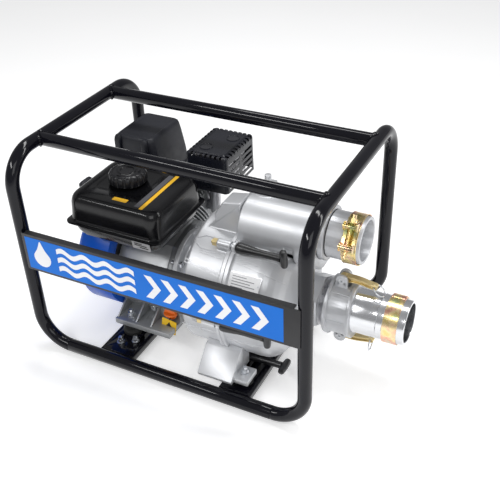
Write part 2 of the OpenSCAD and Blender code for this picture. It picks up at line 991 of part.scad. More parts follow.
// Front half of the casing, with the discharge chamber and the suction neck
module front_casing() {
    color(cast_silver)
        difference() {
            union() {
                intersection() {
                    difference() {
                        x_turned(concat([[0, front_x0], [drum_r + ring_lip, front_x0],
                            [drum_r + ring_lip, front_x0 + ring_t], [drum_r, front_x0 + ring_t]],
                            dome(drum_r, neck_x - dome_x0, 8),
                            [[neck_r_out, neck_x], [neck_r_out, neck_end_x], [0, neck_end_x]]));
                        x_turned(concat([[0, front_x0 - 1], [drum_r - drum_wall, front_x0 - 1]],
                            dome(drum_r - drum_wall, neck_x - dome_x0 - drum_wall, 8),
                            [[0, neck_x - drum_wall]]));
                    }
                    above_flat();
                }
                difference() {
                    x_cyl(front_x0, port_face_x, chamber_r, axis_y, chamber_z);
                    x_cyl(front_x0 - 1, neck_x - drum_wall, drum_r - 1);
                }
                x_cyl(port_face_x - 12, port_face_x, 52, axis_y, port_z);
                z_cyl(chamber_z + 20, priming_z, 24, priming_x, priming_y);
                rod_bosses(front_x0, handle_x0 + 45);
                rotate_about_axis(drain_angle)
                    y_cyl(drum_r - 4, drum_r + 10, 16, drain_x, 0);
                flap_ears(hinge_hole = false);
            }
            x_cyl(front_x0 + 6, port_face_x - 12, chamber_r - 8, axis_y, chamber_z);
            x_cyl(port_face_x - 14, port_face_x + 1, port_bore, axis_y, port_z);
            x_cyl(neck_x - drum_wall - 1, neck_end_x + 1, port_bore);
            z_cyl(chamber_z + 24, priming_z + 1, priming_r + slip, priming_x, priming_y);
            rotate_about_axis(drain_angle)
                y_cyl(drum_r - 12, drum_r + 11, drain_r + slip, drain_x, 0);
            rod_holes(front_x0, handle_x0 + 45);
            each_handle()
                x_cyl(handle_x1 - sweep_half, handle_x1 + sweep_half, sweep_r, handle_ring_r, 0);
            flap_ears(hinge_hole = true);
        }
}

priming_x = 132;
priming_y = -2;
priming_r = 16;
priming_z = 364;
// Room for the cross bars of the T-handles as they turn
sweep_r = 22;
sweep_half = 10;
drain_angle = -32;
drain_x = 160;
drain_r = 10;

module rotate_about_axis(angle) {
    translate([0, axis_y, axis_z])
        rotate([angle, 0, 0])
            children();
}

// Plug over the priming port, with its turning post
module priming_plug() {
    color(engine_grey) {
        z_cyl(priming_z - 12, priming_z + 1, priming_r, priming_x, priming_y);
        z_hex(priming_z + lever_gap, priming_z + 11, 21, priming_x, priming_y);
        z_cyl(priming_z + 11, priming_z + 30, 6.5, priming_x, priming_y);
    }
}

module drain_plug() {
    color(brass)
        rotate_about_axis(drain_angle) {
            y_cyl(drum_r, drum_r + 11, drain_r, drain_x, 0);
            y_cyl(drum_r + 10 + lever_gap, drum_r + 18, 15, drain_x, 0);
        }
}

volute_r = 100;
volute_x0 = 52;
volute_x1 = 102;

// Replaceable inner casing round the impeller
module volute() {
    color([0.25, 0.25, 0.26])
        difference() {
            union() {
                x_turned([[impeller_r + 4, volute_x0], [volute_r, volute_x0], [volute_r, volute_x1],
                    [port_bore, volute_x1], [port_bore, volute_x1 - 6], [impeller_r + 4, volute_x1 - 6]]);
                x_ring(volute_x1, volute_x1 + 28, port_bore + 6, port_bore);
                for (a = [30 : 120 : 270])
                    rotate_about_axis(a)
                        span([drum_x0 + 8, volute_r - 8, -6], [volute_x0 + 2, volute_r, 6]);
            }
            span([volute_x0 + 6, axis_y - 14, axis_z + impeller_r - 6],
                [volute_x1 - 8, axis_y + 14, axis_z + volute_r + 4]);
        }
}

impeller_r = 82;
vane_count = 3;

// Open impeller with thick swept vanes
module impeller() {
    color([0.3, 0.3, 0.31])
        difference() {
            union() {
                x_cyl(impeller_x - 18, impeller_x - 12, impeller_r);
                x_cyl(impeller_x - 18, impeller_x + 8, 26);
                for (i = [0 : vane_count - 1])
                    rotate_about_axis(i * 360 / vane_count)
                        translate([0, 14, 0])
                            rotate([35, 0, 0])
                                span([impeller_x - 12, 0, -5], [impeller_x + 12, 62, 5]);
            }
            x_cyl(impeller_x - 20, impeller_x + 8, shaft_r);
        }
}

// Stationary ring of the mechanical seal
module shaft_seal() {
    color(steel)
        x_ring(drum_x0 + 2, drum_x0 + 20, seal_r, shaft_r + slip);
}

flap_r = 43;
flap_x = neck_x - drum_wall - 5;

hinge_x = flap_x + 2;
hinge_z = axis_z + 47;
hinge_r = 2.2;
ear_y = [11, 17];

// Two ears inside the front casing, or the hole through them
module flap_ears(hinge_hole) {
    if (hinge_hole)
        y_cyl(axis_y - 18, axis_y + 18, hinge_r + slip, hinge_x, hinge_z);
    else
        for (side = [-1, 1])
            translate([0, axis_y, 0])
                mirror([0, side < 0 ? 1 : 0, 0]) {
                    y_cyl(ear_y[0], ear_y[1], 4.2, hinge_x, hinge_z);
                    span([hinge_x, ear_y[0], hinge_z - 3], [hinge_x + 5, ear_y[1], hinge_z + 3]);
                }
}

// Check valve flap behind the suction neck, with its hinge barrel above
module check_valve() {
    color(rubber) {
        x_cyl(flap_x, flap_x + 4.5, flap_r);
        span([flap_x, axis_y - 10, axis_z + flap_r - 6], [flap_x + 4.5, axis_y + 10, hinge_z + 1]);
        y_cyl(axis_y - 16, axis_y + 16, hinge_r, hinge_x, hinge_z);
    }
}

pump_foot_x = [66, 141];
foot_gap = 0.3;

// Outline of a foot seen along the shaft, as [distance from the axis, z] points
foot_outline = [[92, pump_foot_z], [168, pump_foot_z], [171, pump_foot_z + 8], [131, 84],
    [112, 90], [92, 64]];
lug_y = [118, 160];
lug_x1 = 170;

// Feet under the casing, front and rear, each with a lug for its mount
module pump_feet() {
    color(cast_silver)
        difference() {
            for (side = [-1, 1])
                translate([0, axis_y, 0])
                    mirror([0, side < 0 ? 1 : 0, 0]) {
                        along_shaft(pump_foot_x[0], pump_foot_x[1])
                            polygon(foot_outline);
                        span([pump_foot_x[1] - 2, lug_y[0], pump_foot_z],
                            [lug_x1, lug_y[1], pump_foot_z + pump_foot_t]);
                    }
            x_cyl(pump_foot_x[0] - 1, pump_foot_x[1] + 1, drum_r + foot_gap);
            x_cyl(parting_x - ring_t - foot_gap, front_x0 + ring_t + foot_gap, drum_r + ring_lip + foot_gap);
            for (y = pump_mounts_y)
                z_cyl(0, 100, stud_hole_r, pump_mount_x, y);
        }
}

// ---- discharge ----

// Flange ring and spigot for the discharge hose
module discharge_flange() {
    color(engine_grey)
        difference() {
            union() {
                x_cyl(port_face_x, spigot_x0, 52, axis_y, port_z);
                x_cyl(spigot_x0, spigot_x1, spigot_r, axis_y, port_z);
            }
            x_cyl(port_face_x - 1, spigot_x1 + 1, port_bore, axis_y, port_z);
        }
}

clamp_x0 = 307;
clamp_x1 = 335;
clamp_t = 2;
clamp_gap = 1.5;
// Turn of the clamp's bolt round the spigot
clamp_turn = -33;
trunnion_span = 19;

// Places children in the clamp's own frame, with its bolt along Z
module at_clamp() {
    translate([0, axis_y, port_z])
        rotate([clamp_turn, 0, 0])
            children();
}

// Heavy-duty band with its two trunnion lugs
module discharge_clamp() {
    r_in = spigot_r + clamp_gap;
    color(zinc_gold)
        at_clamp() {
            x_ring(clamp_x0, clamp_x1, r_in + clamp_t, r_in, 0, 0);
            for (z = [-trunnion_span, trunnion_span])
                difference() {
                    span([clamp_x0 + 3, clamp_bolt_y - 6, z - 5], [clamp_x1 - 3, clamp_bolt_y + 22, z + 5]);
                    x_cyl(clamp_x0, clamp_x1, r_in, 0, 0);
                    z_cyl(z - 9, z + 9, 4, (clamp_x0 + clamp_x1) / 2, clamp_bolt_y);
                }
        }
}

clamp_bolt_y = -spigot_r - 11;

module clamp_bolt() {
    x = (clamp_x0 + clamp_x1) / 2;
    color(zinc_gold)
        at_clamp() {
            z_cyl(-38, 33, 3.8, x, clamp_bolt_y);
            z_hex(32, 41, 8, x, clamp_bolt_y);
        }
}

// ---- suction ----

// Threaded union with its hexagon
module suction_union() {
    color(engine_grey)
        difference() {
            union() {
                x_hex(union_x0, union_x0 + 24, 56, axis_y, axis_z);
                x_cyl(union_x0 + 24, union_x1, 47);
            }
            x_cyl(union_x0 - 1, union_x1 + 1, port_bore);
        }
}

coupler_r = 54;
ear_gap = 16;

// Cam coupler body with ears for its two levers
module cam_coupler() {
    color(engine_grey)
        difference() {
            union() {
                x_cyl(union_x1, coupler_x1, coupler_r);
                x_cyl(union_x1, union_x1 + 7, coupler_r + 5);
                x_cyl(coupler_x1 - 8, coupler_x1, coupler_r + 3);
                for (side = [-1, 1], y = [-ear_gap / 2 - 6, ear_gap / 2])
                    translate([0, axis_y, axis_z])
                        mirror([0, 0, side < 0 ? 1 : 0]) {
                            span([lever_pivot_x - 12, y, 46], [lever_pivot_x + 12, y + 6, lever_pivot_r]);
                            y_cyl(y, y + 6, 12, lever_pivot_x, lever_pivot_r);
                        }
            }
            x_cyl(union_x1 - 1, coupler_x1 + 1, shank_r);
            for (z = [axis_z - 80, axis_z + 44])
                span([lever_pivot_x - 14, axis_y - ear_gap / 2, z],
                    [lever_pivot_x + 14, axis_y + ear_gap / 2, z + 36]);
            for (side = [-1, 1])
                y_cyl(axis_y - 20, axis_y + 20, pin_hole_r, lever_pivot_x, axis_z + side * lever_pivot_r);
        }
}

pin_hole_r = 3.05;
lever_pin_r = 3;
lever_w = 13;
lever_length = 66;

// Cam lever with its pin, above the shank when side is 1 and below it when side is -1
module cam_lever(side) {
    translate([lever_pivot_x, axis_y, axis_z])
        mirror([0, 0, side < 0 ? 1 : 0])
            translate([0, 0, lever_pivot_r]) {
                color(steel)
                    y_cyl(-ear_gap / 2 - 7, ear_gap / 2 + 7, lever_pin_r, 0, 0);
                color(brass)
                    difference() {
                        union() {
                            y_cyl(-lever_w / 2, lever_w / 2, 9, 0, 0);
                            rotate([0, lever_slope, 0])
                                span([0, -lever_w / 2, -3], [lever_length, lever_w / 2, 6]);
                        }
                        rotate([0, lever_slope, 0])
                            y_cyl(-lever_w, lever_w, 2.6, eye_u, eye_w);
                    }
            }
}

module cam_lever_top() {
    cam_lever(1);
}

module cam_lever_bottom() {
    cam_lever(-1);
}

ring_wire = 1.4;
ring_mid_r = 13;
lever_slope = 4;
eye_u = lever_length - 6;
eye_w = 1.5;
eye_x = lever_pivot_x + eye_u * cos(lever_slope) + eye_w * sin(lever_slope);
eye_drop = eye_u * sin(lever_slope) - eye_w * cos(lever_slope);

// Split ring in the lever's eye, swung by an angle from hanging straight down
module pull_ring(side, swing) {
    color(steel)
        translate([eye_x, axis_y, axis_z + side * (lever_pivot_r - eye_drop)])
            rotate([0, -swing, 0])
                translate([0, 0, 0.87 - ring_mid_r])
                    rotate([0, 90, 0])
                        rotate_extrude($fn = 48)
                            translate([ring_mid_r, 0])
                                circle(ring_wire, $fn = 16);
}

module pull_ring_top() {
    pull_ring(1, 54);
}

module pull_ring_bottom() {
    pull_ring(-1, 0);
}

shank_step = 0.5;

// Hose shank that the coupler's levers hold
module hose_shank() {
    color(steel)
        difference() {
            union() {
                x_cyl(coupler_x1 - 12, shank_x0, shank_r - slip);
                x_cyl(shank_x0, shank_x1, shank_r - shank_step);
            }
            x_cyl(coupler_x1 - 13, shank_x1 + 1, port_bore);
        }
}

band_x0 = 391;
band_x1 = 419;
band_gap = 0.8;

// Band clamp over the barbs
module band_clamp() {
    color(zinc_gold) {
        x_ring(band_x0, band_x1, shank_r + band_gap + 1.5, shank_r + band_gap);
        difference() {
            span([band_x0 + 2, axis_y + 18, axis_z + shank_r - 12],
                [band_x1 - 2, axis_y + 34, axis_z + shank_r + 5]);
            x_cyl(band_x0 - 3, band_x1 + 3, shank_r + band_gap);
        }
    }
}

// ---- T-handles ----

handle_tilt = [70, 30, 10, 0, 90, 60];

// T-handle number i, counted round the casing from the rear
module t_handle(i) {
    p = on_ring(i * 360 / handle_count, handle_ring_r);
    color(brass)
        x_hex(handle_x0 - 4, handle_x0 + 5.7, 8, p[0], p[1]);
    color(steel)
        x_cyl(handle_x0 + 5.7, handle_x0 + 46, handle_rod_r, p[0], p[1]);
    color(black) {
        translate([handle_x0 + 45.5, p[0], p[1]])
            rotate([0, 90, 0])
                cylinder(h = handle_x1 - handle_x0 - 50, r1 = 8, r2 = 6.5);
        translate([handle_x1, p[0], p[1]])
            rotate([handle_tilt[i], 0, 0])
                cylinder(h = 38, r = 6.5, center = true);
    }
}

module t_handle_1() {
    t_handle(0);
}

module t_handle_2() {
    t_handle(1);
}

module t_handle_3() {
    t_handle(2);
}

module t_handle_4() {
    t_handle(3);
}

module t_handle_5() {
    t_handle(4);
}

module t_handle_6() {
    t_handle(5);
}

left_hoop();
right_hoop();
bottom_rails();
top_bars();
banner_plate();
cross_plates();
rubber_mounts();
mount_fasteners();
crankcase();
side_cover();
cylinder_head();
rocker_cover();
piston();
crankshaft();
flywheel();
fan_shroud();
recoil_cover();
recoil_pulley();
recoil_grip();
fuel_tank();
fuel_cap();
carburetor();
choke_lever();
fuel_valve_lever();
throttle_lever();
air_filter_base();
air_filter_cover();
muffler();
muffler_guard();
spark_plug();
stop_switch();
oil_cap();
adapter_bolts();
rear_casing();
front_casing();
casing_seal();
volute();
impeller();
shaft_seal();
check_valve();
pump_feet();
discharge_flange();
discharge_clamp();
clamp_bolt();
suction_union();
cam_coupler();
cam_lever_top();
cam_lever_bottom();
pull_ring_top();
pull_ring_bottom();
hose_shank();
band_clamp();
priming_plug();
drain_plug();
t_handle_1();
t_handle_2();
t_handle_3();
t_handle_4();
t_handle_5();
t_handle_6();
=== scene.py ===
import json
import math
import random

import bpy
import bmesh
from mathutils import Matrix, Vector


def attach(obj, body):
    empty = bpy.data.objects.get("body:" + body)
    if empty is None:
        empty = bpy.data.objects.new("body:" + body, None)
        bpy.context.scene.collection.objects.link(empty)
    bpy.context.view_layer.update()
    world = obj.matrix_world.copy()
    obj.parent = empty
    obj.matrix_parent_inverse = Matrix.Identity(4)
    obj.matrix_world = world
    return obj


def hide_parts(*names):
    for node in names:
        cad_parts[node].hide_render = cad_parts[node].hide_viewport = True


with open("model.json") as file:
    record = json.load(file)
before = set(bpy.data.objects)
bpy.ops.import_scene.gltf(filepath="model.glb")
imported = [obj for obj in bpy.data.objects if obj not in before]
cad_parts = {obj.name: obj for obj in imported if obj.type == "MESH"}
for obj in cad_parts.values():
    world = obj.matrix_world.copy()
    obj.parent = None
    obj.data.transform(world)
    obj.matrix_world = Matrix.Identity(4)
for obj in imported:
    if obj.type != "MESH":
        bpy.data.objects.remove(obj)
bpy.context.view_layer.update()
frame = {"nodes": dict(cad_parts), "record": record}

NODES = frame["nodes"]
ROOT = "frame_and_housings"
RNG = random.Random(7)              # for the ripple of the weld beads
MM = 0.001

# in millimetres, as all sizes are until place()
AXIS_Y, AXIS_Z = -30.0, 160.0       # crankshaft and pump axis
SPIGOT_Z = 319.0                    # axis of the discharge spigot
CASING_R = 138.0                    # drum of the pump casing
TIE_R = 150.0                       # circle of the six T-handles


# ---- materials ----

def new_material(name):
    material = bpy.data.materials.new(name)
    material.use_nodes = True
    tree = material.node_tree
    shader = tree.nodes["Principled BSDF"]
    coord = tree.nodes.new("ShaderNodeTexCoord")
    return material, tree, shader, coord.outputs["Object"]


def noise(tree, vector, scale, detail=4.0, stretch=None):
    """Noise in object space; stretch scales each axis, for grain and brushing."""
    if stretch:
        mapping = tree.nodes.new("ShaderNodeMapping")
        mapping.inputs["Scale"].default_value = stretch
        tree.links.new(vector, mapping.inputs["Vector"])
        vector = mapping.outputs["Vector"]
    node = tree.nodes.new("ShaderNodeTexNoise")
    node.inputs["Scale"].default_value = scale
    node.inputs["Detail"].default_value = detail
    tree.links.new(vector, node.inputs["Vector"])
    return node.outputs["Fac"]


def ramp(tree, factor, stops):
    node = tree.nodes.new("ShaderNodeValToRGB")
    elements = node.color_ramp.elements
    while len(elements) < len(stops):
        elements.new(0.5)
    for element, (place, color) in zip(elements, stops):
        element.position = place
        element.color = (*color, 1.0)
    tree.links.new(factor, node.inputs["Fac"])
    return node.outputs["Color"]


def spread(tree, factor, low, high):
    node = tree.nodes.new("ShaderNodeMapRange")
    node.inputs["To Min"].default_value = low
    node.inputs["To Max"].default_value = high
    node.inputs["From Min"].default_value = 0.25
    node.inputs["From Max"].default_value = 0.75
    tree.links.new(factor, node.inputs["Value"])
    return node.outputs["Result"]


def mix_color(tree, factor, first, second):
    node = tree.nodes.new("ShaderNodeMix")
    node.data_type = "RGBA"
    tree.links.new(factor, node.inputs[0])
    for socket, value in ((node.inputs[6], first), (node.inputs[7], second)):
        if isinstance(value, tuple):
            socket.default_value = (*value, 1.0)
        else:
            tree.links.new(value, socket)
    return node.outputs[2]


def edge_wear(tree, width):
    """1 on sharp outer edges, 0 elsewhere."""
    geometry = tree.nodes.new("ShaderNodeNewGeometry")
    node = tree.nodes.new("ShaderNodeMapRange")
    node.inputs["From Min"].default_value = 0.52 + width
    node.inputs["From Max"].default_value = 0.62 + width
    tree.links.new(geometry.outputs["Pointiness"], node.inputs["Value"])
    return node.outputs["Result"]


def add_bump(tree, shader, heights):
    """Chains bumps; heights is a list of (factor, distance in metres, strength)."""
    normal = None
    for factor, distance, strength in heights:
        bump = tree.nodes.new("ShaderNodeBump")
        bump.inputs["Distance"].default_value = distance
        bump.inputs["Strength"].default_value = strength
        tree.links.new(factor, bump.inputs["Height"])
        if normal:
            tree.links.new(normal, bump.inputs["Normal"])
        normal = bump.outputs["Normal"]
    tree.links.new(normal, shader.inputs["Normal"])


def surface(name, color, shade, metallic, rough, grain, wear=None, coat=0.0, large=9.0, stretch=None,
            gloss=0.5):
    """Painted, moulded or cast surface.

    color and shade are its two close tones, rough its roughness range, grain = (scale, distance, strength)
    of its fine bump, wear = (color, width) where edges rub through, large the scale of its clouding,
    stretch the brushing of its fine bump and gloss its specular level.
    """
    material, tree, shader, coords = new_material(name)
    cloudy = noise(tree, coords, large, 5.0)
    tint = ramp(tree, cloudy, [(0.3, shade), (0.7, color)])
    if wear:
        worn, width = wear
        tint = mix_color(tree, edge_wear(tree, width), tint, worn)
    tree.links.new(tint, shader.inputs["Base Color"])
    dull = spread(tree, noise(tree, coords, large * 6, 3.0), *rough)
    tree.links.new(dull, shader.inputs["Roughness"])
    shader.inputs["Metallic"].default_value = metallic
    shader.inputs["Specular IOR Level"].default_value = gloss
    shader.inputs["Coat Weight"].default_value = coat
    shader.inputs["Coat Roughness"].default_value = 0.08
    scale, distance, strength = grain
    fine = noise(tree, coords, scale, 3.0, stretch)
    add_bump(tree, shader, [(fine, distance, strength), (cloudy, distance * 4, strength * 0.3)])
    return material


def yellow_zinc():
    """Passivated zinc with its drifting gold, pink and green tints."""
    material, tree, shader, coords = new_material("yellow_zinc")
    drift = noise(tree, coords, 38.0, 2.0)
    tint = ramp(tree, drift, [(0.30, (0.55, 0.62, 0.30)), (0.42, (0.86, 0.66, 0.28)),
                              (0.52, (0.90, 0.72, 0.42)), (0.62, (0.85, 0.45, 0.33)),
                              (0.74, (0.72, 0.70, 0.52))])
    tree.links.new(tint, shader.inputs["Base Color"])
    tree.links.new(spread(tree, noise(tree, coords, 120.0), 0.20, 0.34), shader.inputs["Roughness"])
    shader.inputs["Metallic"].default_value = 1.0
    add_bump(tree, shader, [(noise(tree, coords, 900.0), 0.00002, 0.2)])
    return material


def print_blue():
    """Printed film on the banner."""
    return surface("print_blue", (0.004, 0.165, 0.66), (0.003, 0.145, 0.60), 0.0, (0.32, 0.42),
                   (300.0, 0.00004, 0.2), gloss=0.2)


def print_white():
    """Marks printed on the film."""
    return surface("print_white", (0.86, 0.86, 0.87), (0.80, 0.80, 0.82), 0.0, (0.34, 0.46),
                   (300.0, 0.00006, 0.2))


def polished_steel():
    """Turned tube, brushed round its axis."""
    return surface("polished_steel", (0.80, 0.81, 0.83), (0.70, 0.71, 0.73), 1.0, (0.15, 0.24),
                   (300.0, 0.00003, 0.2), stretch=(1.0, 9.0, 9.0))


def make_materials():
    """One material for each slot of the record."""
    return {
        "frame_black": surface("frame_black", (0.005, 0.005, 0.008), (0.003, 0.003, 0.006), 0.0, (0.08, 0.12),
                               (60.0, 0.000004, 0.1), ((0.016, 0.016, 0.020), 0.08), gloss=0.30),
        "banner_blue": surface("banner_black", (0.022, 0.022, 0.024), (0.014, 0.014, 0.016), 0.0,
                               (0.38, 0.52), (800.0, 0.0001, 0.3), ((0.07, 0.07, 0.075), 0.05)),
        "rubber": surface("rubber", (0.020, 0.020, 0.020), (0.012, 0.012, 0.012), 0.0, (0.62, 0.80),
                          (500.0, 0.0002, 0.4)),
        "zinc_steel": surface("zinc_steel", (0.72, 0.74, 0.77), (0.58, 0.60, 0.63), 1.0, (0.22, 0.36),
                              (600.0, 0.00006, 0.3)),
        "engine_casting": surface("engine_casting", (0.30, 0.31, 0.32), (0.20, 0.205, 0.21), 0.8,
                                  (0.42, 0.60), (420.0, 0.0003, 0.6), ((0.70, 0.71, 0.72), 0.04)),
        "bare_steel": surface("bare_steel", (0.60, 0.60, 0.62), (0.45, 0.45, 0.47), 1.0, (0.25, 0.42),
                              (500.0, 0.0001, 0.3)),
        "blue_paint": surface("blue_paint", (0.003, 0.095, 0.56), (0.002, 0.080, 0.48), 0.0, (0.26, 0.36),
                              (600.0, 0.0001, 0.2), ((0.02, 0.20, 0.75), 0.06), gloss=0.3),
        "tank_black": surface("tank_black", (0.005, 0.005, 0.006), (0.003, 0.003, 0.004), 0.0, (0.14, 0.22),
                              (160.0, 0.00005, 0.12), gloss=0.38),
        "black_plastic": surface("black_plastic", (0.012, 0.013, 0.020), (0.008, 0.009, 0.014), 0.0,
                                 (0.40, 0.54), (1400.0, 0.00010, 0.4), ((0.035, 0.035, 0.04), 0.05),
                                 gloss=0.4),
        "guard_black": surface("guard_black", (0.010, 0.011, 0.017), (0.007, 0.008, 0.012), 0.0, (0.24, 0.34),
                               (900.0, 0.0001, 0.35), ((0.04, 0.04, 0.045), 0.05), gloss=0.4),
        "red_plastic": surface("red_plastic", (0.62, 0.02, 0.012), (0.48, 0.015, 0.010), 0.0, (0.25, 0.38),
                               (900.0, 0.00008, 0.2)),
        "orange_plastic": surface("orange_plastic", (0.95, 0.20, 0.012), (0.86, 0.15, 0.010), 0.0,
                                  (0.28, 0.42), (900.0, 0.00008, 0.2)),
        "pump_aluminium": surface("pump_aluminium", (0.66, 0.67, 0.69), (0.60, 0.61, 0.63), 0.55,
                                  (0.36, 0.46), (520.0, 0.00016, 0.4), ((0.78, 0.78, 0.80), 0.06),
                                  large=6.0),
        "cast_iron": surface("cast_iron", (0.16, 0.16, 0.17), (0.10, 0.10, 0.11), 0.6, (0.50, 0.70),
                             (380.0, 0.0004, 0.7)),
        "yellow_zinc": yellow_zinc(),
        "brass": surface("brass", (0.78, 0.64, 0.34), (0.62, 0.49, 0.24), 0.9, (0.36, 0.52),
                         (700.0, 0.0002, 0.55), ((0.90, 0.80, 0.52), 0.04)),
        "handle_black": surface("handle_black", (0.014, 0.014, 0.016), (0.009, 0.009, 0.010), 0.0,
                                (0.30, 0.44), (900.0, 0.0001, 0.35), ((0.06, 0.06, 0.06), 0.05), coat=0.2),
    }


MATERIALS = make_materials()
COUPLER = surface("coupler_aluminium", (0.60, 0.61, 0.63), (0.50, 0.51, 0.53), 0.6, (0.34, 0.48),
                  (520.0, 0.0002, 0.5), ((0.66, 0.67, 0.69), 0.05))
CRANKCASE = surface("crankcase_aluminium", (0.48, 0.49, 0.50), (0.36, 0.37, 0.38), 0.8, (0.38, 0.54),
                    (420.0, 0.0003, 0.5), ((0.68, 0.69, 0.70), 0.05))
OWN_TONE = {"crankcase": CRANKCASE, "cam_coupler": COUPLER, "suction_union": COUPLER,
            "discharge_flange": COUPLER}


def join_vertices(obj):
    weld = obj.modifiers.new("weld", "WELD")
    weld.merge_threshold = 0.00001


def round_edges(obj, width, segments=2, angle=35):
    bevel = obj.modifiers.new("bevel", "BEVEL")
    bevel.width = width
    bevel.segments = segments
    bevel.limit_method = "ANGLE"
    bevel.angle_limit = math.radians(angle)
    bevel.harden_normals = True


def shade_smooth(mesh):
    mesh.polygons.foreach_set("use_smooth", [True] * len(mesh.polygons))


def dress_frame():
    """Gives every CAD node its procedural material, smooth shading and small rounded edges."""
    slots = {part["node"]: part["material_slot"] for part in frame["record"]["subparts"]}
    for name, obj in NODES.items():
        obj.data.materials.clear()
        obj.data.materials.append(OWN_TONE.get(name, MATERIALS[slots[name]]))
        join_vertices(obj)
        round_edges(obj, 0.8 * MM)
        shade_smooth(obj.data)
        obj.data.update()


# ---- mesh helpers: shapes are in millimetres until place() ----

def place(name, bm, slot, body=ROOT, replaces=(), bevel=0.0, segments=2, angle=35, material=None):
    """Turns a bmesh in millimetres into a piece that rides on a body."""
    bmesh.ops.remove_doubles(bm, verts=bm.verts, dist=1e-4)
    bmesh.ops.recalc_face_normals(bm, faces=bm.faces)
    for face in bm.faces:
        face.smooth = True
    for edge in bm.edges:
        if len(edge.link_faces) == 2 and edge.calc_face_angle() > math.radians(angle):
            edge.smooth = False
    bm.transform(Matrix.Scale(MM, 4))
    mesh = bpy.data.meshes.new(name)
    bm.to_mesh(mesh)
    bm.free()
    mesh.materials.append(material or MATERIALS[slot])
    obj = bpy.data.objects.new(name, mesh)
    bpy.context.scene.collection.objects.link(obj)
    if bevel:
        round_edges(obj, bevel * MM, segments, angle)
    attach(obj, body)
    if replaces:
        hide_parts(*replaces)
    return obj


def add_box(bm, low, high, turn=None):
    size = Vector(high) - Vector(low)
    middle = (Vector(high) + Vector(low)) / 2
    matrix = Matrix.Translation(middle) @ (turn or Matrix.Identity(4)) @ Matrix.Diagonal((*size, 1.0))
    bmesh.ops.create_cube(bm, size=1.0, matrix=matrix)


def add_rod(bm, start, end, r1, r2=None, sides=40):
    """Cylinder or cone between two points."""
    start, end = Vector(start), Vector(end)
    run = end - start
    matrix = Matrix.Translation((start + end) / 2) @ run.to_track_quat("Z", "Y").to_matrix().to_4x4()
    bmesh.ops.create_cone(bm, cap_ends=True, segments=sides, radius1=r1, radius2=r1 if r2 is None else r2,
                          depth=run.length, matrix=matrix)


def add_loft(bm, rings, caps=(True, True)):
    """Skins closed rings of equal point counts."""
    grid = [[bm.verts.new(point) for point in ring] for ring in rings]
    count = len(grid[0])
    for lower, upper in zip(grid, grid[1:]):
        for i in range(count):
            j = (i + 1) % count
            bm.faces.new((lower[i], lower[j], upper[j], upper[i]))
    if caps[0]:
        bm.faces.new(list(reversed(grid[0])))
    if caps[1]:
        bm.faces.new(grid[-1])


def add_turned(bm, profile, origin, direction=(1, 0, 0), sides=96, closed=False):
    """Revolves [radius, height] points about an axis through origin."""
    basis = Vector(direction).to_track_quat("Z", "Y").to_matrix().to_4x4()
    matrix = Matrix.Translation(origin) @ basis
    rings = []
    for radius, height in profile:
        rings.append([matrix @ Vector((radius * math.cos(a), radius * math.sin(a), height))
                      for a in (2 * math.pi * i / sides for i in range(sides))])
    if closed:
        rings.append(rings[0])
    add_loft(bm, rings, (not closed, not closed))


def add_sweep(bm, path, outline, up=(0, 0, 1), looped=False, scales=None):
    """Sweeps a closed 2D outline along a path; outline x goes sideways, y goes along up."""
    path, up = [Vector(p) for p in path], Vector(up)
    rings = []
    count = len(path)
    for i, point in enumerate(path):
        ahead = path[(i + 1) % count] if looped or i < count - 1 else point
        behind = path[i - 1] if looped or i > 0 else point
        tangent = (ahead - behind).normalized()
        side = tangent.cross(up).normalized()
        top = side.cross(tangent).normalized()
        size = scales[i] if scales else 1.0
        rings.append([point + side * x * size + top * y * size for x, y in outline])
    if looped:
        rings.append(rings[0])
    add_loft(bm, rings, (not looped, not looped))


def circle(radius, sides=12):
    return [(radius * math.cos(2 * math.pi * i / sides), radius * math.sin(2 * math.pi * i / sides))
            for i in range(sides)]


def rounded_outline(half_x, half_y, radius, steps=6):
    """Rectangle with round corners, counter-clockwise."""
    points = []
    for quarter, (sx, sy) in enumerate(((1, 1), (-1, 1), (-1, -1), (1, -1))):
        for i in range(steps + 1):
            angle = math.pi / 2 * (quarter + i / steps)
            points.append((sx * (half_x - radius) + radius * math.cos(angle),
                           sy * (half_y - radius) + radius * math.sin(angle)))
    return points


def level_ring(center, half_x, half_y, radius, z, steps):
    """Level rounded rectangle at a height."""
    return [(center[0] + x, center[1] + y, z) for x, y in rounded_outline(half_x, half_y, radius, steps)]


def add_prism(bm, outline, matrix, depth):
    """Extrudes a 2D outline by depth along the matrix's z axis."""
    low = [matrix @ Vector((x, y, 0)) for x, y in outline]
    high = [matrix @ Vector((x, y, depth)) for x, y in outline]
    add_loft(bm, [low, high])


def around_axis(radius, angle):
    """y and z of a point round the pump axis, in millimetres; the angle is in degrees from +Y."""
    turn = math.radians(angle)
    return AXIS_Y + radius * math.cos(turn), AXIS_Z + radius * math.sin(turn)


# ---- frame ----

def weld_bead(name, path, radius=2.3, looped=True):
    """Rippled bead along a seam."""
    bm = bmesh.new()
    scales = [1.0 + 0.16 * math.sin(i * 1.9) + RNG.uniform(-0.08, 0.08) for i in range(len(path))]
    add_sweep(bm, path, circle(radius, 8), looped=looped, scales=scales + scales[:1])
    place(name, bm, "frame_black")


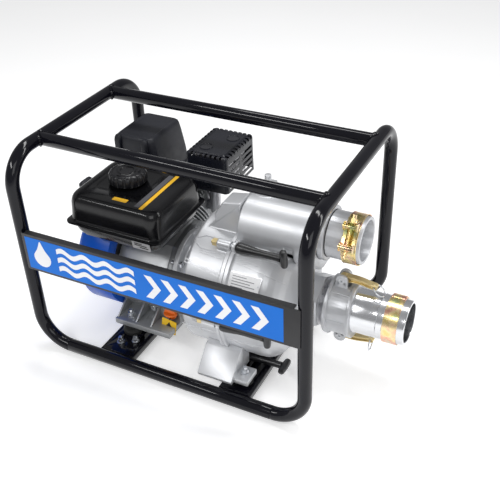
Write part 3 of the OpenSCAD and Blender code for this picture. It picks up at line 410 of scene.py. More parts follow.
def frame_welds():
    """Beads where the top bars meet the hoops and the cross plates meet the rails."""
    bar_y, bar_z, tube_r, half_l, half_w = 120.0, 440.5, 13.5, 300.0, 214.0
    plate_z = 20.6
    seam_r, steps = tube_r + 0.4, 72
    for side, sx in (("left", -1), ("right", 1)):
        for end, sy in (("front", -1), ("rear", 1)):
            seam = []
            for i in range(steps):
                turn = 2 * math.pi * i / steps
                seam.append((sx * (half_l - tube_r * abs(math.cos(turn))) - sx * 0.6,
                             sy * bar_y + seam_r * math.cos(turn), bar_z + seam_r * math.sin(turn)))
            weld_bead(f"weld_bar_{side}_{end}", seam)
    for label, x0, x1 in (("engine", -164.0, -90.0), ("pump", 114.0, 178.0)):
        for end, sy in (("front", -1), ("rear", 1)):
            edge_y = sy * (half_w - tube_r + 0.5)
            seam = [(x0 + (x1 - x0) * i / 30, edge_y, plate_z) for i in range(31)]
            weld_bead(f"weld_{label}_plate_{end}", seam, 1.9, looped=False)


# ---- banner ----

def sheet_piece(name, outline, depth, matrix, slot, material):
    bm = bmesh.new()
    add_prism(bm, outline, matrix, depth)
    place(name, bm, slot, material=material)


def front_plane(y):
    """x to the right, z up, facing the front."""
    return Matrix.Translation((0, y, 0)) @ Matrix.Rotation(math.radians(90), 4, "X")


def droplet(x, z, size, steps=36):
    """Round drop with its point upwards."""
    points = []
    for i in range(steps):
        turn = 2 * math.pi * i / steps
        pull = 1.0 + 0.95 * max(0.0, math.sin(turn)) ** 5
        points.append((x + size * 0.62 * math.cos(turn) * (1 - 0.55 * max(0.0, math.sin(turn)) ** 3),
                       z + size * 0.62 * math.sin(turn) * pull))
    return points


def chevron(x, z, half, thick, lean):
    """Arrow head that points along x."""
    return [(x, z + half), (x + thick, z + half), (x + thick + lean, z), (x + thick, z - half),
            (x, z - half), (x + lean, z)]


def wave_band(x0, x1, z, half, swing, waves, steps=90):
    """Wavy band: its lower points, then its upper ones backwards."""
    upper, lower = [], []
    for i in range(steps + 1):
        x = x0 + (x1 - x0) * i / steps
        middle = z + swing * math.sin(2 * math.pi * waves * i / steps)
        upper.append((x, middle + half))
        lower.append((x, middle - half))
    return lower + upper[::-1]


def strip_faces(bm, outline, matrix, depth):
    """Extrudes a long band made of paired lower and upper points."""
    count = len(outline) // 2
    lower, upper = outline[:count], outline[count:][::-1]
    rings = []
    for (xa, za), (xb, zb) in zip(lower, upper):
        rings.append([matrix @ Vector((xa, za, 0)), matrix @ Vector((xb, zb, 0)),
                      matrix @ Vector((xb, zb, depth)), matrix @ Vector((xa, za, depth))])
    add_loft(bm, rings)


def banner():
    """Printed film on the front plate: a droplet, three waves and a row of chevrons."""
    face, film, ink = -229.5, 0.3, 0.25
    low_x, high_x, low_z, high_z = -283.0, 266.0, 211.0, 284.0
    middle_z = (low_z + high_z) / 2
    panel = [(low_x, low_z), (high_x, low_z), (high_x, high_z), (low_x, high_z)]
    sheet_piece("banner_panel", panel, film, front_plane(face), "banner_blue", print_blue())
    marks = bmesh.new()
    raised = front_plane(face - film)
    add_prism(marks, droplet(low_x + 36, middle_z - 6, 32), raised, ink)
    for i in range(3):
        wave = wave_band(low_x + 74, low_x + 250, middle_z + 20 - 20 * i, 5.5, 5.0, 3.5)
        strip_faces(marks, wave, raised, ink)
    for i in range(7):
        add_prism(marks, chevron(low_x + 272 + i * 36, middle_z, 25, 15, 19), raised, ink)
    place("banner_marks", marks, "banner_blue", material=print_white())


# ---- fuel tank and its cap ----

TANK = (-122.5, -76.5)              # centre of the tank
TANK_HALF = (108.5, 94.5)
CAP = (-140.0, -68.0)


def fuel_tank():
    """Pressed tank with its seam flange, sunk panel, filler neck and three studs."""
    bm = bmesh.new()
    # inset, height, corner radius
    steps = (
        (38, 262.0, 20), (24, 262.6, 26), (17, 266.0, 26), (12, 276.0, 24), (9, 289.0, 22), (8, 293.0, 20),
        (6.5, 293.9, 18), (1.2, 293.9, 16), (0.2, 294.6, 16), (0.0, 296.0, 16), (0.2, 297.4, 16),
        (1.2, 298.1, 16), (5.0, 298.3, 18), (6.4, 300.0, 20), (6.9, 306.0, 22), (7.4, 322.0, 24),
        (8.0, 336.0, 25), (9.2, 343.0, 25), (11.4, 348.4, 25), (14.6, 352.0, 24), (18.6, 353.6, 22),
        (23.0, 354.0, 20), (31.0, 354.0, 18))
    rings = [level_ring(TANK, TANK_HALF[0] - inset, TANK_HALF[1] - inset, radius, z, 10)
             for inset, z, radius in steps]
    panel = (CAP[0] + 2.0, CAP[1] + 2.0)
    for inset, z in ((0.0, 354.0), (1.2, 353.2), (2.4, 352.0), (3.6, 351.6)):
        rings.append(level_ring(panel, 54 - inset, 52 - inset, 22 - inset, z, 10))
    add_loft(bm, rings)
    add_turned(bm, [(23, 350), (23, 354.5), (22.4, 355.2), (18, 355.2), (18, 350)],
               (*CAP, 0), (0, 0, 1), 64, closed=True)
    for x, y, low in ((-150, -14, 238), (-70, -14, 238), (-191, -30, 258)):
        add_rod(bm, (x, y, low), (x, y, 266), 7)
    place("fuel_tank_shell", bm, "tank_black", replaces=("fuel_tank",))
    tank_stickers()


def tank_stickers():
    """Plain colour bars where the maker's stickers would be."""
    yellow = surface("sticker_yellow", (0.90, 0.52, 0.02), (0.84, 0.46, 0.015), 0.0, (0.30, 0.42),
                     (500.0, 0.00004, 0.2))
    grey = surface("sticker_grey", (0.10, 0.10, 0.11), (0.07, 0.07, 0.08), 0.0, (0.35, 0.45),
                   (500.0, 0.00004, 0.2))
    level = Matrix.Translation((0, 0, 353.95))
    for name, low, high, material in (
            ("sticker_bar", (-64, -150), (-56, -14), yellow),
            ("sticker_panel", (-77, -146), (-66, -18), grey),
            ("sticker_small", (-130, -141), (-98, -130), yellow)):
        x, y = (low[0] + high[0]) / 2, (low[1] + high[1]) / 2
        outline = [(x + dx, y + dy) for dx, dy in
                   rounded_outline((high[0] - low[0]) / 2, (high[1] - low[1]) / 2, 1.5, 3)]
        sheet_piece(name, outline, 0.25, level, "tank_black", material)


def fuel_cap():
    """Screw cap with finger notches, a raised hub and three small ribs."""
    bm = bmesh.new()
    sides, lobes = 192, 16
    # radius, height, share of the notches' depth
    profile = [(33.0, 355.4, 0), (36.0, 356.0, 0), (37.4, 357.6, 0.2), (38.0, 360.0, 1), (37.8, 370.0, 1),
               (37.0, 373.5, 1), (35.0, 376.6, 0.6), (32.5, 378.4, 0.1), (29.6, 378.8, 0), (28.6, 377.6, 0),
               (27.8, 377.0, 0), (18.6, 377.0, 0), (17.8, 377.8, 0), (17.0, 379.4, 0), (14.6, 379.4, 0),
               (13.8, 378.0, 0), (13.0, 377.0, 0), (0.5, 377.0, 0)]
    rings = []
    for radius, z, cut in profile:
        ring = []
        for i in range(sides):
            turn = 2 * math.pi * i / sides
            notch = max(0.0, math.cos(lobes * turn) - 0.25) / 0.75
            reach = radius - cut * 2.6 * notch ** 0.7
            ring.append((CAP[0] + reach * math.cos(turn), CAP[1] + reach * math.sin(turn), z))
        rings.append(ring)
    add_loft(bm, rings)
    for i in range(3):
        turn = math.radians(20 + 120 * i)
        centre = Vector((CAP[0] + 23.2 * math.cos(turn), CAP[1] + 23.2 * math.sin(turn), 377.2))
        add_box(bm, centre - Vector((4.2, 1.3, 0.6)), centre + Vector((4.2, 1.3, 0.8)),
                Matrix.Rotation(turn + math.pi / 2, 4, "Z"))
    black = surface("cap_black", (0.008, 0.008, 0.010), (0.005, 0.005, 0.007), 0.0, (0.26, 0.34),
                    (300.0, 0.00002, 0.15), gloss=0.4)
    place("fuel_cap_shell", bm, "black_plastic", "fuel_cap", ("fuel_cap",), angle=50, material=black)


# ---- air filter ----

FILTER = (-204.0, 118.0)            # centre of the air filter cover
FILTER_HALF = (54, 64)


def air_filter():
    """Cover that leans in at its right side, with its two clips."""
    bm = bmesh.new()
    # left inset, right inset, front and rear inset, height, corner radius
    steps = ((-3, -3, -3.0, 280.6, 15), (-3, -3, -3.0, 285.0, 15), (-2, -2, -2.0, 286.2, 14),
             (0, 0, 0.0, 286.6, 13), (0, 1, 0.4, 290.0, 13), (0.4, 2.6, 1.0, 312.0, 13),
             (0.8, 6.5, 1.8, 335.0, 13), (1.2, 11, 2.4, 358.0, 13), (1.8, 13.5, 3.2, 369.0, 13),
             (3.4, 15.5, 5.0, 374.8, 12), (6.4, 18.5, 8.0, 377.6, 11), (9.6, 21.5, 11.0, 378.0, 9),
             (11.0, 23.0, 12.4, 377.2, 8), (14.0, 26.0, 15.0, 376.8, 7))
    rings = []
    for left, right, deep, z, radius in steps:
        centre = (FILTER[0] + (left - right) / 2, FILTER[1])
        half_x, half_y = FILTER_HALF[0] - (left + right) / 2, FILTER_HALF[1] - deep
        rings.append(level_ring(centre, half_x, half_y, radius, z, 8))
    add_loft(bm, rings)
    for x in (-247.0, -181.0):
        clip = [[(x + dx, 56.0 + lean + dy, z)
                 for dx, dy in rounded_outline(8 - pinch, 6 - pinch / 2, 3.5 - pinch / 2, 4)]
                for z, lean, pinch in ((322, 1.0, 2.0), (326, 0.0, 0.4), (366, 1.0, 0.0), (373, 2.4, 0.8),
                                       (376.4, 3.8, 2.6))]
        add_loft(bm, clip)
    place("air_filter_shell", bm, "black_plastic", replaces=("air_filter_cover",))


# ---- muffler guard ----

def muffler_guard():
    """Pressed guard with slots round its top edge, louvres in its ends and two dished screw holes."""
    centre, half = (-35.0, 117.0), (47.0, 63.0)
    bm = bmesh.new()
    # inset, height, corner radius
    steps = ((-1.0, 292.0, 9), (-0.5, 320.0, 9), (0.0, 352.0, 8), (0.0, 366.0, 8), (0.4, 369.6, 8),
             (1.6, 371.6, 8), (3.6, 372.4, 8), (8.4, 372.4, 8), (9.2, 373.2, 8), (10.2, 374.4, 8),
             (12.0, 374.4, 8), (12.8, 373.4, 8), (16.0, 373.2, 8))
    rings = [level_ring(centre, half[0] - inset, half[1] - inset, radius, z, 8) for inset, z, radius in steps]
    add_loft(bm, rings, (False, True))
    shell = place("muffler_guard_shell", bm, "guard_black", replaces=("muffler_guard",))
    solid = shell.modifiers.new("sheet", "SOLIDIFY")
    solid.thickness = 1.4 * MM
    solid.offset = -1.0
    cuts = bmesh.new()
    for i in range(7):
        x = centre[0] - 33.0 + i * 11.0
        for wall, side in ((centre[1] - half[1], 1), (centre[1] + half[1], -1)):
            add_box(cuts, (x - 2.7, wall - 4, 366.5), (x + 2.7, wall + 4, 380))
            add_box(cuts, (x - 2.7, wall + side * 4 - 4, 369.5), (x + 2.7, wall + side * 4 + 4, 380))
    for i in range(9):
        y = centre[1] - 50.4 + i * 12.6
        for wall, side in ((centre[0] - half[0], 1), (centre[0] + half[0], -1)):
            add_box(cuts, (wall - 4, y - 3.1, 366.5), (wall + 4, y + 3.1, 380))
            add_box(cuts, (wall + side * 4 - 4, y - 3.1, 369.5), (wall + side * 4 + 4, y + 3.1, 380))
    for sx in (-1, 1):
        for y0 in (66, 122):
            for i in range(5):
                z = 298 + i * 12.5
                add_box(cuts, (centre[0] + sx * 47 - 8, y0, z), (centre[0] + sx * 47 + 8, y0 + 46, z + 6))
    dimples = ((-52.0, 90.0), (-18.0, 144.0))
    for x, y in dimples:
        add_rod(cuts, (x, y, 366), (x, y, 380), 12.4)
    cut_away(shell, cuts, "guard_cutter")
    dishes = bmesh.new()
    dish = [(14.2, 373.2), (13.8, 374.6), (12.4, 374.4), (9.6, 369.0), (6.4, 366.6), (6.0, 370.4),
            (4.8, 371.4), (1.0, 371.5)]
    for x, y in dimples:
        add_turned(dishes, dish, (x, y, 0), (0, 0, 1), 40)
    place("muffler_guard_dishes", dishes, "guard_black")


def cut_away(obj, cutter_bm, name):
    """Cuts a bmesh in millimetres out of an object, and applies the result."""
    cutter_bm.transform(Matrix.Scale(MM, 4))
    mesh = bpy.data.meshes.new(name)
    cutter_bm.to_mesh(mesh)
    cutter_bm.free()
    cutter = bpy.data.objects.new(name, mesh)
    bpy.context.scene.collection.objects.link(cutter)
    boolean = obj.modifiers.new("cut", "BOOLEAN")
    boolean.operation = "DIFFERENCE"
    boolean.solver = "EXACT"
    boolean.use_self = True
    boolean.object = cutter
    apply_modifiers(obj)
    bpy.data.objects.remove(cutter)
    mark_sharp(obj.data)


def apply_modifiers(obj):
    bpy.context.view_layer.update()
    graph = bpy.context.evaluated_depsgraph_get()
    mesh = bpy.data.meshes.new_from_object(obj.evaluated_get(graph))
    old = obj.data
    obj.modifiers.clear()
    obj.data = mesh
    bpy.data.meshes.remove(old)


def mark_sharp(mesh, angle=35):
    bm = bmesh.new()
    bm.from_mesh(mesh)
    for face in bm.faces:
        face.smooth = True
    for edge in bm.edges:
        edge.smooth = not (len(edge.link_faces) == 2 and edge.calc_face_angle() > math.radians(angle))
    bm.to_mesh(mesh)
    bm.free()


# ---- pump casing ----

def cast_shell(name, node, slot, voxel, rounds, share):
    """Rounds a machined-looking solid into a casting: voxel remesh, smoothing, then fewer faces."""
    mesh = NODES[node].data.copy()
    mesh.materials.clear()
    mesh.materials.append(MATERIALS[slot])
    obj = bpy.data.objects.new(name, mesh)
    bpy.context.scene.collection.objects.link(obj)
    join_vertices(obj)
    remesh = obj.modifiers.new("remesh", "REMESH")
    remesh.mode = "VOXEL"
    remesh.voxel_size = voxel * MM
    remesh.use_smooth_shade = True
    soften = obj.modifiers.new("soften", "SMOOTH")
    soften.factor = 0.5
    soften.iterations = rounds
    fewer = obj.modifiers.new("fewer", "DECIMATE")
    fewer.ratio = share
    apply_modifiers(obj)
    shade_smooth(obj.data)
    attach(obj, ROOT)
    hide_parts(node)


def dome_radius(x):
    """Outside radius of the casing at x: a drum, then an ellipse down to the neck."""
    drum_end, dome_length, neck_r = 168, 58.0, 52.0
    if x <= drum_end:
        return CASING_R
    return neck_r + (CASING_R - neck_r) * math.sqrt(max(0.0, 1 - ((x - drum_end) / dome_length) ** 2))


def ridge(bm, x0, x1, angles, width, height, steps=28):
    """Sharp-edged rib on the casing from x0 to x1; angles(t) is where it lies round the axis."""
    rings = []
    for i in range(steps + 1):
        t = i / steps
        x, angle = x0 + (x1 - x0) * t, angles(t)
        reach = height * min(1.0, 6 * min(t, 1 - t) + 0.08)
        radius = dome_radius(x)
        turn = math.degrees(width / 2 / radius)
        foot, top, foot_turn = radius - 1.2, radius + reach, turn * 1.5
        corners = ((foot, angle - foot_turn), (foot, angle + foot_turn),
                   (top, angle + turn), (top, angle - turn))
        rings.append([(x, *around_axis(*corner)) for corner in corners])
    add_loft(bm, rings)


def casing_ribs():
    """Cast lines along the drum, with the hairpins round the rod bosses."""
    bm = bmesh.new()
    # angle at the start, angle at the end, from x, to x
    lines = ((162, 162, 16, 96), (197, 197, 16, 96), (129.5, 135.5, 114, 214), (152, 157, 114, 214),
             (200, 200, 114, 206), (96, 96, 114, 190), (40, 40, 16, 96), (20, 20, 114, 206),
             (-30, -30, 16, 96), (-24, -24, 114, 200), (137, 142, 16, 97), (139.6, 144.6, 16, 97))
    for start, end, x0, x1 in lines:
        ridge(bm, x0, x1, lambda t, low=start, high=end: low + (high - low) * t, 1.7, 2.0)
    for i in range(6):
        for side in (-1, 1):
            ridge(bm, 22, 97, lambda t, m=60 * i, s=side: m + s * (1.0 + 4.6 * min(1.0, 4 * t)), 1.6, 1.9)
            ridge(bm, 113, 214, lambda t, m=60 * i, s=side: m + s * (5.2 - 4.4 * t), 1.6, 1.9)
        middle = 60 * i + 6.4
        for side in (-1, 1):
            ridge(bm, 40, 97, lambda t, m=middle, s=side: m + 2 + s * (0.5 + 1.4 * t), 1.3, 1.6)
            ridge(bm, 113, 166, lambda t, m=middle, s=side: m + 2 + s * (1.9 - 1.6 * t), 1.3, 1.6)
    place("casing_ribs", bm, "pump_aluminium", angle=30)


def chamber_boss():
    """Cast block that backs the discharge chamber at its left end: two flat faces with soft edges."""
    bm = bmesh.new()
    front_y, depth = -64.0, 44.0
    upright = Matrix(((1, 0, 0, 0), (0, 0, 1, front_y), (0, 1, 0, 0), (0, 0, 0, 1)))
    add_prism(bm, [(47, 286), (47, 322), (66, 352), (103, 358), (103, 286)], upright, depth)
    place("chamber_boss", bm, "pump_aluminium", bevel=3.0, segments=3)


def flange_bands():
    """Machined rims of the two parting flanges, cut off where the foot takes over."""
    bm = bmesh.new()
    inner, outer, chamfer = 143.0, 144.5, 0.6
    for x0, x1 in ((97.2, 104.7), (105.1, 112.8)):
        rim = [(inner, x0), (outer, x0 + chamfer), (outer, x1 - chamfer), (inner, x1)]
        add_turned(bm, rim, (0, AXIS_Y, AXIS_Z), (1, 0, 0), 144, closed=True)
    limit = bmesh.new()
    add_box(limit, (80, -400, -20), (130, 400, 22.0))
    band = place("casing_flange_bands", bm, "pump_aluminium")
    cut_away(band, limit, "flange_cutter")


PLATE_X = (115.0, 178.0)
PLATE_ANGLE = (137.5, 150.5)
PLATE_R = 138.7


def curved_patch(bm, x0, x1, a0, a1, radius, thick, steps=12):
    """Sheet bent round the casing, from angle a0 to a1."""
    rings = []
    for i in range(steps + 1):
        angle = a0 + (a1 - a0) * i / steps
        low, high = around_axis(radius, angle), around_axis(radius + thick, angle)
        rings.append([(x0, *low), (x1, *low), (x1, *high), (x0, *high)])
    add_loft(bm, rings)


def data_plate():
    """Blank data plate held by two pins, with faint ruled bars."""
    pins, base, bars, rim = bmesh.new(), bmesh.new(), bmesh.new(), bmesh.new()
    (x0, x1), (a0, a1) = PLATE_X, PLATE_ANGLE
    curved_patch(rim, x0 - 1.2, x1 + 1.2, a0 - 0.5, a1 + 0.5, PLATE_R - 0.9, 0.9)
    place("data_plate_rim", rim, "zinc_steel", material=MATERIALS["bare_steel"])
    curved_patch(base, x0, x1, a0, a1, PLATE_R, 0.5)
    span, width = a1 - a0, x1 - x0
    for i, (start, end) in enumerate(((0.10, 0.55), (0.10, 0.82), (0.10, 0.70), (0.10, 0.86), (0.10, 0.48))):
        angle = a0 + span * (0.18 + 0.16 * i)
        curved_patch(bars, x0 + width * start, x0 + width * end, angle, angle + span * 0.045,
                     PLATE_R + 0.45, 0.15, 3)
    place("data_plate", base, "zinc_steel", material=surface(
        "plate_white", (0.86, 0.86, 0.87), (0.80, 0.80, 0.81), 0.0, (0.30, 0.42), (500.0, 0.00005, 0.2)))
    place("data_plate_bars", bars, "zinc_steel", material=surface(
        "plate_grey", (0.22, 0.22, 0.24), (0.18, 0.18, 0.20), 0.1, (0.35, 0.45), (500.0, 0.00005, 0.2)))
    for x in (x0 + 3, x1 - 3):
        inside = around_axis(PLATE_R + 0.2, sum(PLATE_ANGLE) / 2)
        outside = around_axis(PLATE_R + 1.6, sum(PLATE_ANGLE) / 2)
        add_rod(pins, (x, *inside), (x, *outside), 1.8, 1.2, 20)
    place("data_plate_pins", pins, "zinc_steel")


# ---- T-handles ----

HANDLE_TILT = (70, 30, 10, 0, 90, 60)       # how each bar stands, in degrees from upright
HANDLE_BAR_X = 210.0


def t_handles():
    """Six T-handles: moulded grip, rod and domed nut."""
    stem = [(4.0, 115.5), (8.0, 115.5), (10.0, 116.8), (10.8, 119.5), (10.8, 124.0), (10.2, 132.0),
            (9.0, 142.0), (7.8, 152.0), (7.2, 164.0), (7.0, 196.0), (7.4, 204.0)]
    half_bar = [(7.4, 8.0), (6.8, 16.0), (5.8, 18.6), (3.8, 19.8), (1.0, 20.0)]
    bar = [(radius, -out) for radius, out in half_bar[::-1]] + [(7.7, 0.0)] + half_bar
    for i, tilt in enumerate(HANDLE_TILT):
        body = f"t_handle_{i + 1}"
        y, z = around_axis(TIE_R, 60 * i)
        grip = bmesh.new()
        add_turned(grip, stem, (0, y, z), (1, 0, 0), 40)
        turn = math.radians(tilt)
        add_turned(grip, bar, (HANDLE_BAR_X, y, z), (0, -math.sin(turn), math.cos(turn)), 32)
        place(f"{body}_grip", grip, "handle_black", body, (body,))
        metal = bmesh.new()
        add_rod(metal, (75.7, y, z), (117.0, y, z), 5.0)
        place(f"{body}_rod", metal, "zinc_steel", body)
        nut = bmesh.new()
        add_rod(nut, (66.0, y, z), (75.6, y, z), 8.0, sides=6)
        add_rod(nut, (63.0, y, z), (66.2, y, z), 4.2, 3.8, 24)
        place(f"{body}_nut", nut, "brass", body, bevel=0.6)


# ---- hose fittings ----

LEVER_SLOPE = math.radians(4)
LEVER_X, LEVER_R = 300, 66          # pivot of the levers: along the axis, and out from it


def lever_point(u, v, w, side):
    """Point of a cam lever: u out along it, v across it, w away from the shank."""
    c, s = math.cos(LEVER_SLOPE), math.sin(LEVER_SLOPE)
    return (LEVER_X + u * c + w * s, AXIS_Y + v, AXIS_Z + side * (LEVER_R - u * s + w * c))


def cam_lever(label, side):
    """Cast lever of I section with its hub, its eye and its pin."""
    body = f"cam_lever_{label}"
    bm = bmesh.new()
    # out along the lever, middle of the section, half its height
    arm = ((3, 0.0, 7.4), (9, 1.6, 6.8), (18, 3.4, 5.8), (28, 4.2, 5.2), (38, 3.8, 5.0), (48, 2.4, 4.8),
           (56, 1.6, 4.8), (62, 1.4, 4.4), (66, 1.4, 3.0))

    def strip(half_w, low, high):
        """Part of the section, from low to high in shares of its half height."""
        corners = ((-half_w, low), (half_w, low), (half_w, high), (-half_w, high))
        add_loft(bm, [[lever_point(u, v, middle + share * half, side) for v, share in corners]
                      for u, middle, half in arm])

    strip(3.2, -0.95, 0.95)
    strip(6.4, 0.55, 1.0)
    strip(6.4, -1.0, -0.6)
    hub, eye = lever_point(0, 0, 0, side), lever_point(60, 0, 1.5, side)
    hub_ring = [(3.1, -6.5), (8.2, -6.5), (9.0, -5.7), (9.0, 5.7), (8.2, 6.5), (3.1, 6.5)]
    eye_ring = [(2.7, -5.2), (5.6, -5.2), (6.4, -4.4), (6.4, 4.4), (5.6, 5.2), (2.7, 5.2)]
    add_turned(bm, hub_ring, hub, (0, 1, 0), 48, closed=True)
    add_turned(bm, eye_ring, eye, (0, 1, 0), 40, closed=True)
    place(f"{body}_arm", bm, "brass", body, (body,), bevel=0.7, angle=40)
    pin = bmesh.new()
    pin_tube = [(1.5, -15.0), (2.6, -15.0), (3.0, -14.4), (3.0, 14.4), (2.6, 15.0), (1.5, 15.0)]
    add_turned(pin, pin_tube, hub, (0, 1, 0), 32, closed=True)
    place(f"{body}_pin", pin, "zinc_steel", body)


def tube_piece(name, profile, slot, replaces=(), material=None, z=AXIS_Z):
    """Ring or tube turned about a line along x at height z."""
    bm = bmesh.new()
    add_turned(bm, profile, (0, AXIS_Y, z), (1, 0, 0), 128, closed=True)
    place(name, bm, slot, replaces=replaces, material=material)


def hose_fittings():
    """Hose shank, threads, gaskets, and the rims, pin ends and ribs of the coupler."""
    barbs = []
    for i in range(4):
        x = 378.0 + 12 * i
        barbs += [(44.0, x), (45.1, x + 1.5), (44.0, x + 9.0)]
    shank = [(38.0, 318.4), (44.2, 318.4), (44.4, 319.0), (44.4, 333.6), (44.0, 334.2)] + barbs + \
            [(44.0, 431.0), (43.2, 432.0), (38.6, 432.0), (38.0, 431.4)]
    tube_piece("hose_shank_shell", shank, "zinc_steel", ("hose_shank",), material=polished_steel())
    threads = [(46.0, 264.4)]
    for i in range(5):
        threads += [(47.2, 265.0 + i * 2.4), (48.2, 266.2 + i * 2.4)]
    threads += [(47.2, 277.4), (46.0, 277.4)]
    tube_piece("union_thread", threads, "zinc_steel", material=MATERIALS["bare_steel"])
    gasket = [(50.0, 261.2), (52.5, 261.2), (52.5, 262.9), (50.0, 262.9)]
    groove = [(44.0, 274.2), (45.0, 274.2), (45.0, 276.0), (44.0, 276.0)]
    tube_piece("port_gasket", gasket, "rubber", z=SPIGOT_Z)
    tube_piece("spigot_groove", groove, "rubber", z=SPIGOT_Z)
    for x0, x1, label in ((278.2, 285.6, "left"), (322.6, 329.8, "right")):
        rim = [(53.0, x0), (55.4, x0 + 0.8), (56.4, x0 + 2.0), (56.4, x1 - 2.0), (55.4, x1 - 0.8), (53.0, x1)]
        tube_piece(f"coupler_rim_{label}", rim, "pump_aluminium", material=COUPLER)
    ends = bmesh.new()
    pin_rim = [(3.4, 0), (5.4, 0), (5.2, 0.7), (3.4, 0.7)]
    for z in (AXIS_Z + LEVER_R, AXIS_Z - LEVER_R):
        for sy in (-1, 1):
            add_turned(ends, pin_rim, (LEVER_X, AXIS_Y + sy * 14.0, z), (0, sy, 0), 32, closed=True)
    place("coupler_pin_rims", ends, "pump_aluminium")
    ribs = bmesh.new()
    for sy in (-1, 1):
        y = AXIS_Y + sy * 53.6
        add_box(ribs, (285.5, y - 0.9, AXIS_Z - 1.4), (321.5, y + 0.9, AXIS_Z + 1.4))
    for angle in (60, 120, 240, 300):
        y, z = around_axis(53.4, angle)
        add_rod(ribs, (285, y, z), (322, y, z), 1.6, sides=16)
    place("coupler_ribs", ribs, "pump_aluminium", bevel=0.4, material=COUPLER)


# ---- clamps of the hoses ----

CLAMP_X = (307.0, 335.0)
CLAMP_TURN = math.radians(-33)
CLAMP_BOLT_Y = -55.5                # out from the spigot's axis, before the turn


def clamp_point(x, y, z):
    """Turns a point of the clamp, given about the spigot's axis, into its place."""
    c, s = math.cos(CLAMP_TURN), math.sin(CLAMP_TURN)
    return (x, AXIS_Y + y * c - z * s, SPIGOT_Z + y * s + z * c)


def discharge_clamp():
    """T-bolt clamp: band, the two barrels with their straps, threaded bolt and nut."""
    x0, x1 = CLAMP_X
    middle, r_in = (x0 + x1) / 2, 46.0
    low_r, top_r, edge_r = r_in + 0.9, r_in + 2.2, r_in + 1.6
    band = [(r_in, x0 + 0.6), (low_r, x0), (top_r, x0 + 0.8), (edge_r, x0 + 3.5),
            (edge_r, x1 - 3.5), (top_r, x1 - 0.8), (low_r, x1), (r_in, x1 - 0.6)]
    tube_piece("discharge_band", band, "yellow_zinc", ("discharge_clamp",), z=SPIGOT_Z)
    lugs = bmesh.new()

    def barrel(bm, start, end, z, radius):
        add_rod(bm, clamp_point(start, CLAMP_BOLT_Y, z), clamp_point(end, CLAMP_BOLT_Y, z), radius, sides=32)

    for z in (-19.0, 19.0):
        barrel(lugs, x0 + 1, x1 - 1, z, 5.6)
        for side in (-1, 1):
            barrel(lugs, middle + side * 13.2, middle + side * 11.4, z, 8.2)
    for strap_x in (x0 + 1.2, x1 - 7.2):
        rings = []
        for k in range(13):
            z = -24.0 + 4.0 * k
            y = -51.4 + 2.2 * math.cos(math.pi * z / 48)
            rings.append([clamp_point(x, out, z) for x, out in
                          ((strap_x, y), (strap_x + 6, y), (strap_x + 6, y - 1.6), (strap_x, y - 1.6))])
        add_loft(lugs, rings)
    place("discharge_lugs", lugs, "yellow_zinc")
    bolt = bmesh.new()
    thread = [(1.0, -38.0), (3.2, -37.6)]
    for i in range(44):
        thread += [(3.3, -37.0 + 1.5 * i), (3.9, -36.25 + 1.5 * i)]
    thread += [(3.3, 30.0), (1.0, 30.2)]
    low, high = Vector(clamp_point(middle, CLAMP_BOLT_Y, 0)), Vector(clamp_point(middle, CLAMP_BOLT_Y, 1))
    add_turned(bolt, thread, tuple(low), tuple(high - low), 28)
    place("clamp_bolt_thread", bolt, "zinc_steel", replaces=("clamp_bolt",), angle=60,
          material=MATERIALS["yellow_zinc"])
    nut = bmesh.new()
    for start, end, r1, r2, sides in ((27.0, 35.0, 8.2, 8.2, 6), (25.6, 27.2, 8.8, 8.8, 36),
                                      (34.8, 41.0, 6.4, 6.0, 36)):
        add_rod(nut, clamp_point(middle, CLAMP_BOLT_Y, start), clamp_point(middle, CLAMP_BOLT_Y, end),
                r1, r2, sides)
    place("clamp_bolt_nut", nut, "zinc_steel", bevel=0.5, material=MATERIALS["yellow_zinc"])


def suction_band():
    """Crimped band with its folded tail."""
    band = [(45.3, 391.4), (45.9, 391.0), (46.9, 391.4), (46.7, 393.0), (46.7, 417.0), (46.9, 418.6),
            (45.9, 419.0), (45.3, 418.6)]
    tube_piece("suction_band", band, "yellow_zinc", ("band_clamp",))
    fold = bmesh.new()
    steps = 13
    rings = []
    for i in range(steps + 1):
        angle = 52 + 2.4 * i
        lift = 1.9 * max(0.0, math.sin(math.pi * i / steps)) ** 0.5
        low, high = around_axis(46.4, angle), around_axis(47.0 + lift, angle)
        rings.append([(392.5, *low), (417.5, *low), (417.5, *high), (392.5, *high)])
    add_loft(fold, rings)
    place("suction_band_fold", fold, "yellow_zinc", bevel=0.4)


# ---- small parts ----

OIL_CAP = (-46.0, -104.0, 84.0)


def oil_cap():
    """Winged filler cap of the crankcase."""
    body = "oil_cap"
    x, y, z = OIL_CAP
    bm = bmesh.new()
    knob = [(9.0, -8.0), (9.0, 0.3), (13.0, 0.4), (14.2, 1.6), (14.4, 5.0), (13.6, 8.6), (11.0, 10.0),
            (1.0, 10.2)]
    add_turned(bm, knob, (x, y, z), (0, -1, 0), 56)
    # distance out, half width, half thickness
    wing = ((9.0, 13.6, 3.4), (12.0, 13.0, 3.0), (15.0, 10.0, 2.6), (17.4, 6.0, 2.2), (18.2, 3.0, 1.2))
    add_loft(bm, [[(x + dx, y - out, z + dz) for dx, dz in rounded_outline(half, thick, thick * 0.8, 4)]
                  for out, half, thick in wing])
    place("oil_cap_shell", bm, "orange_plastic", body, (body,), angle=45)


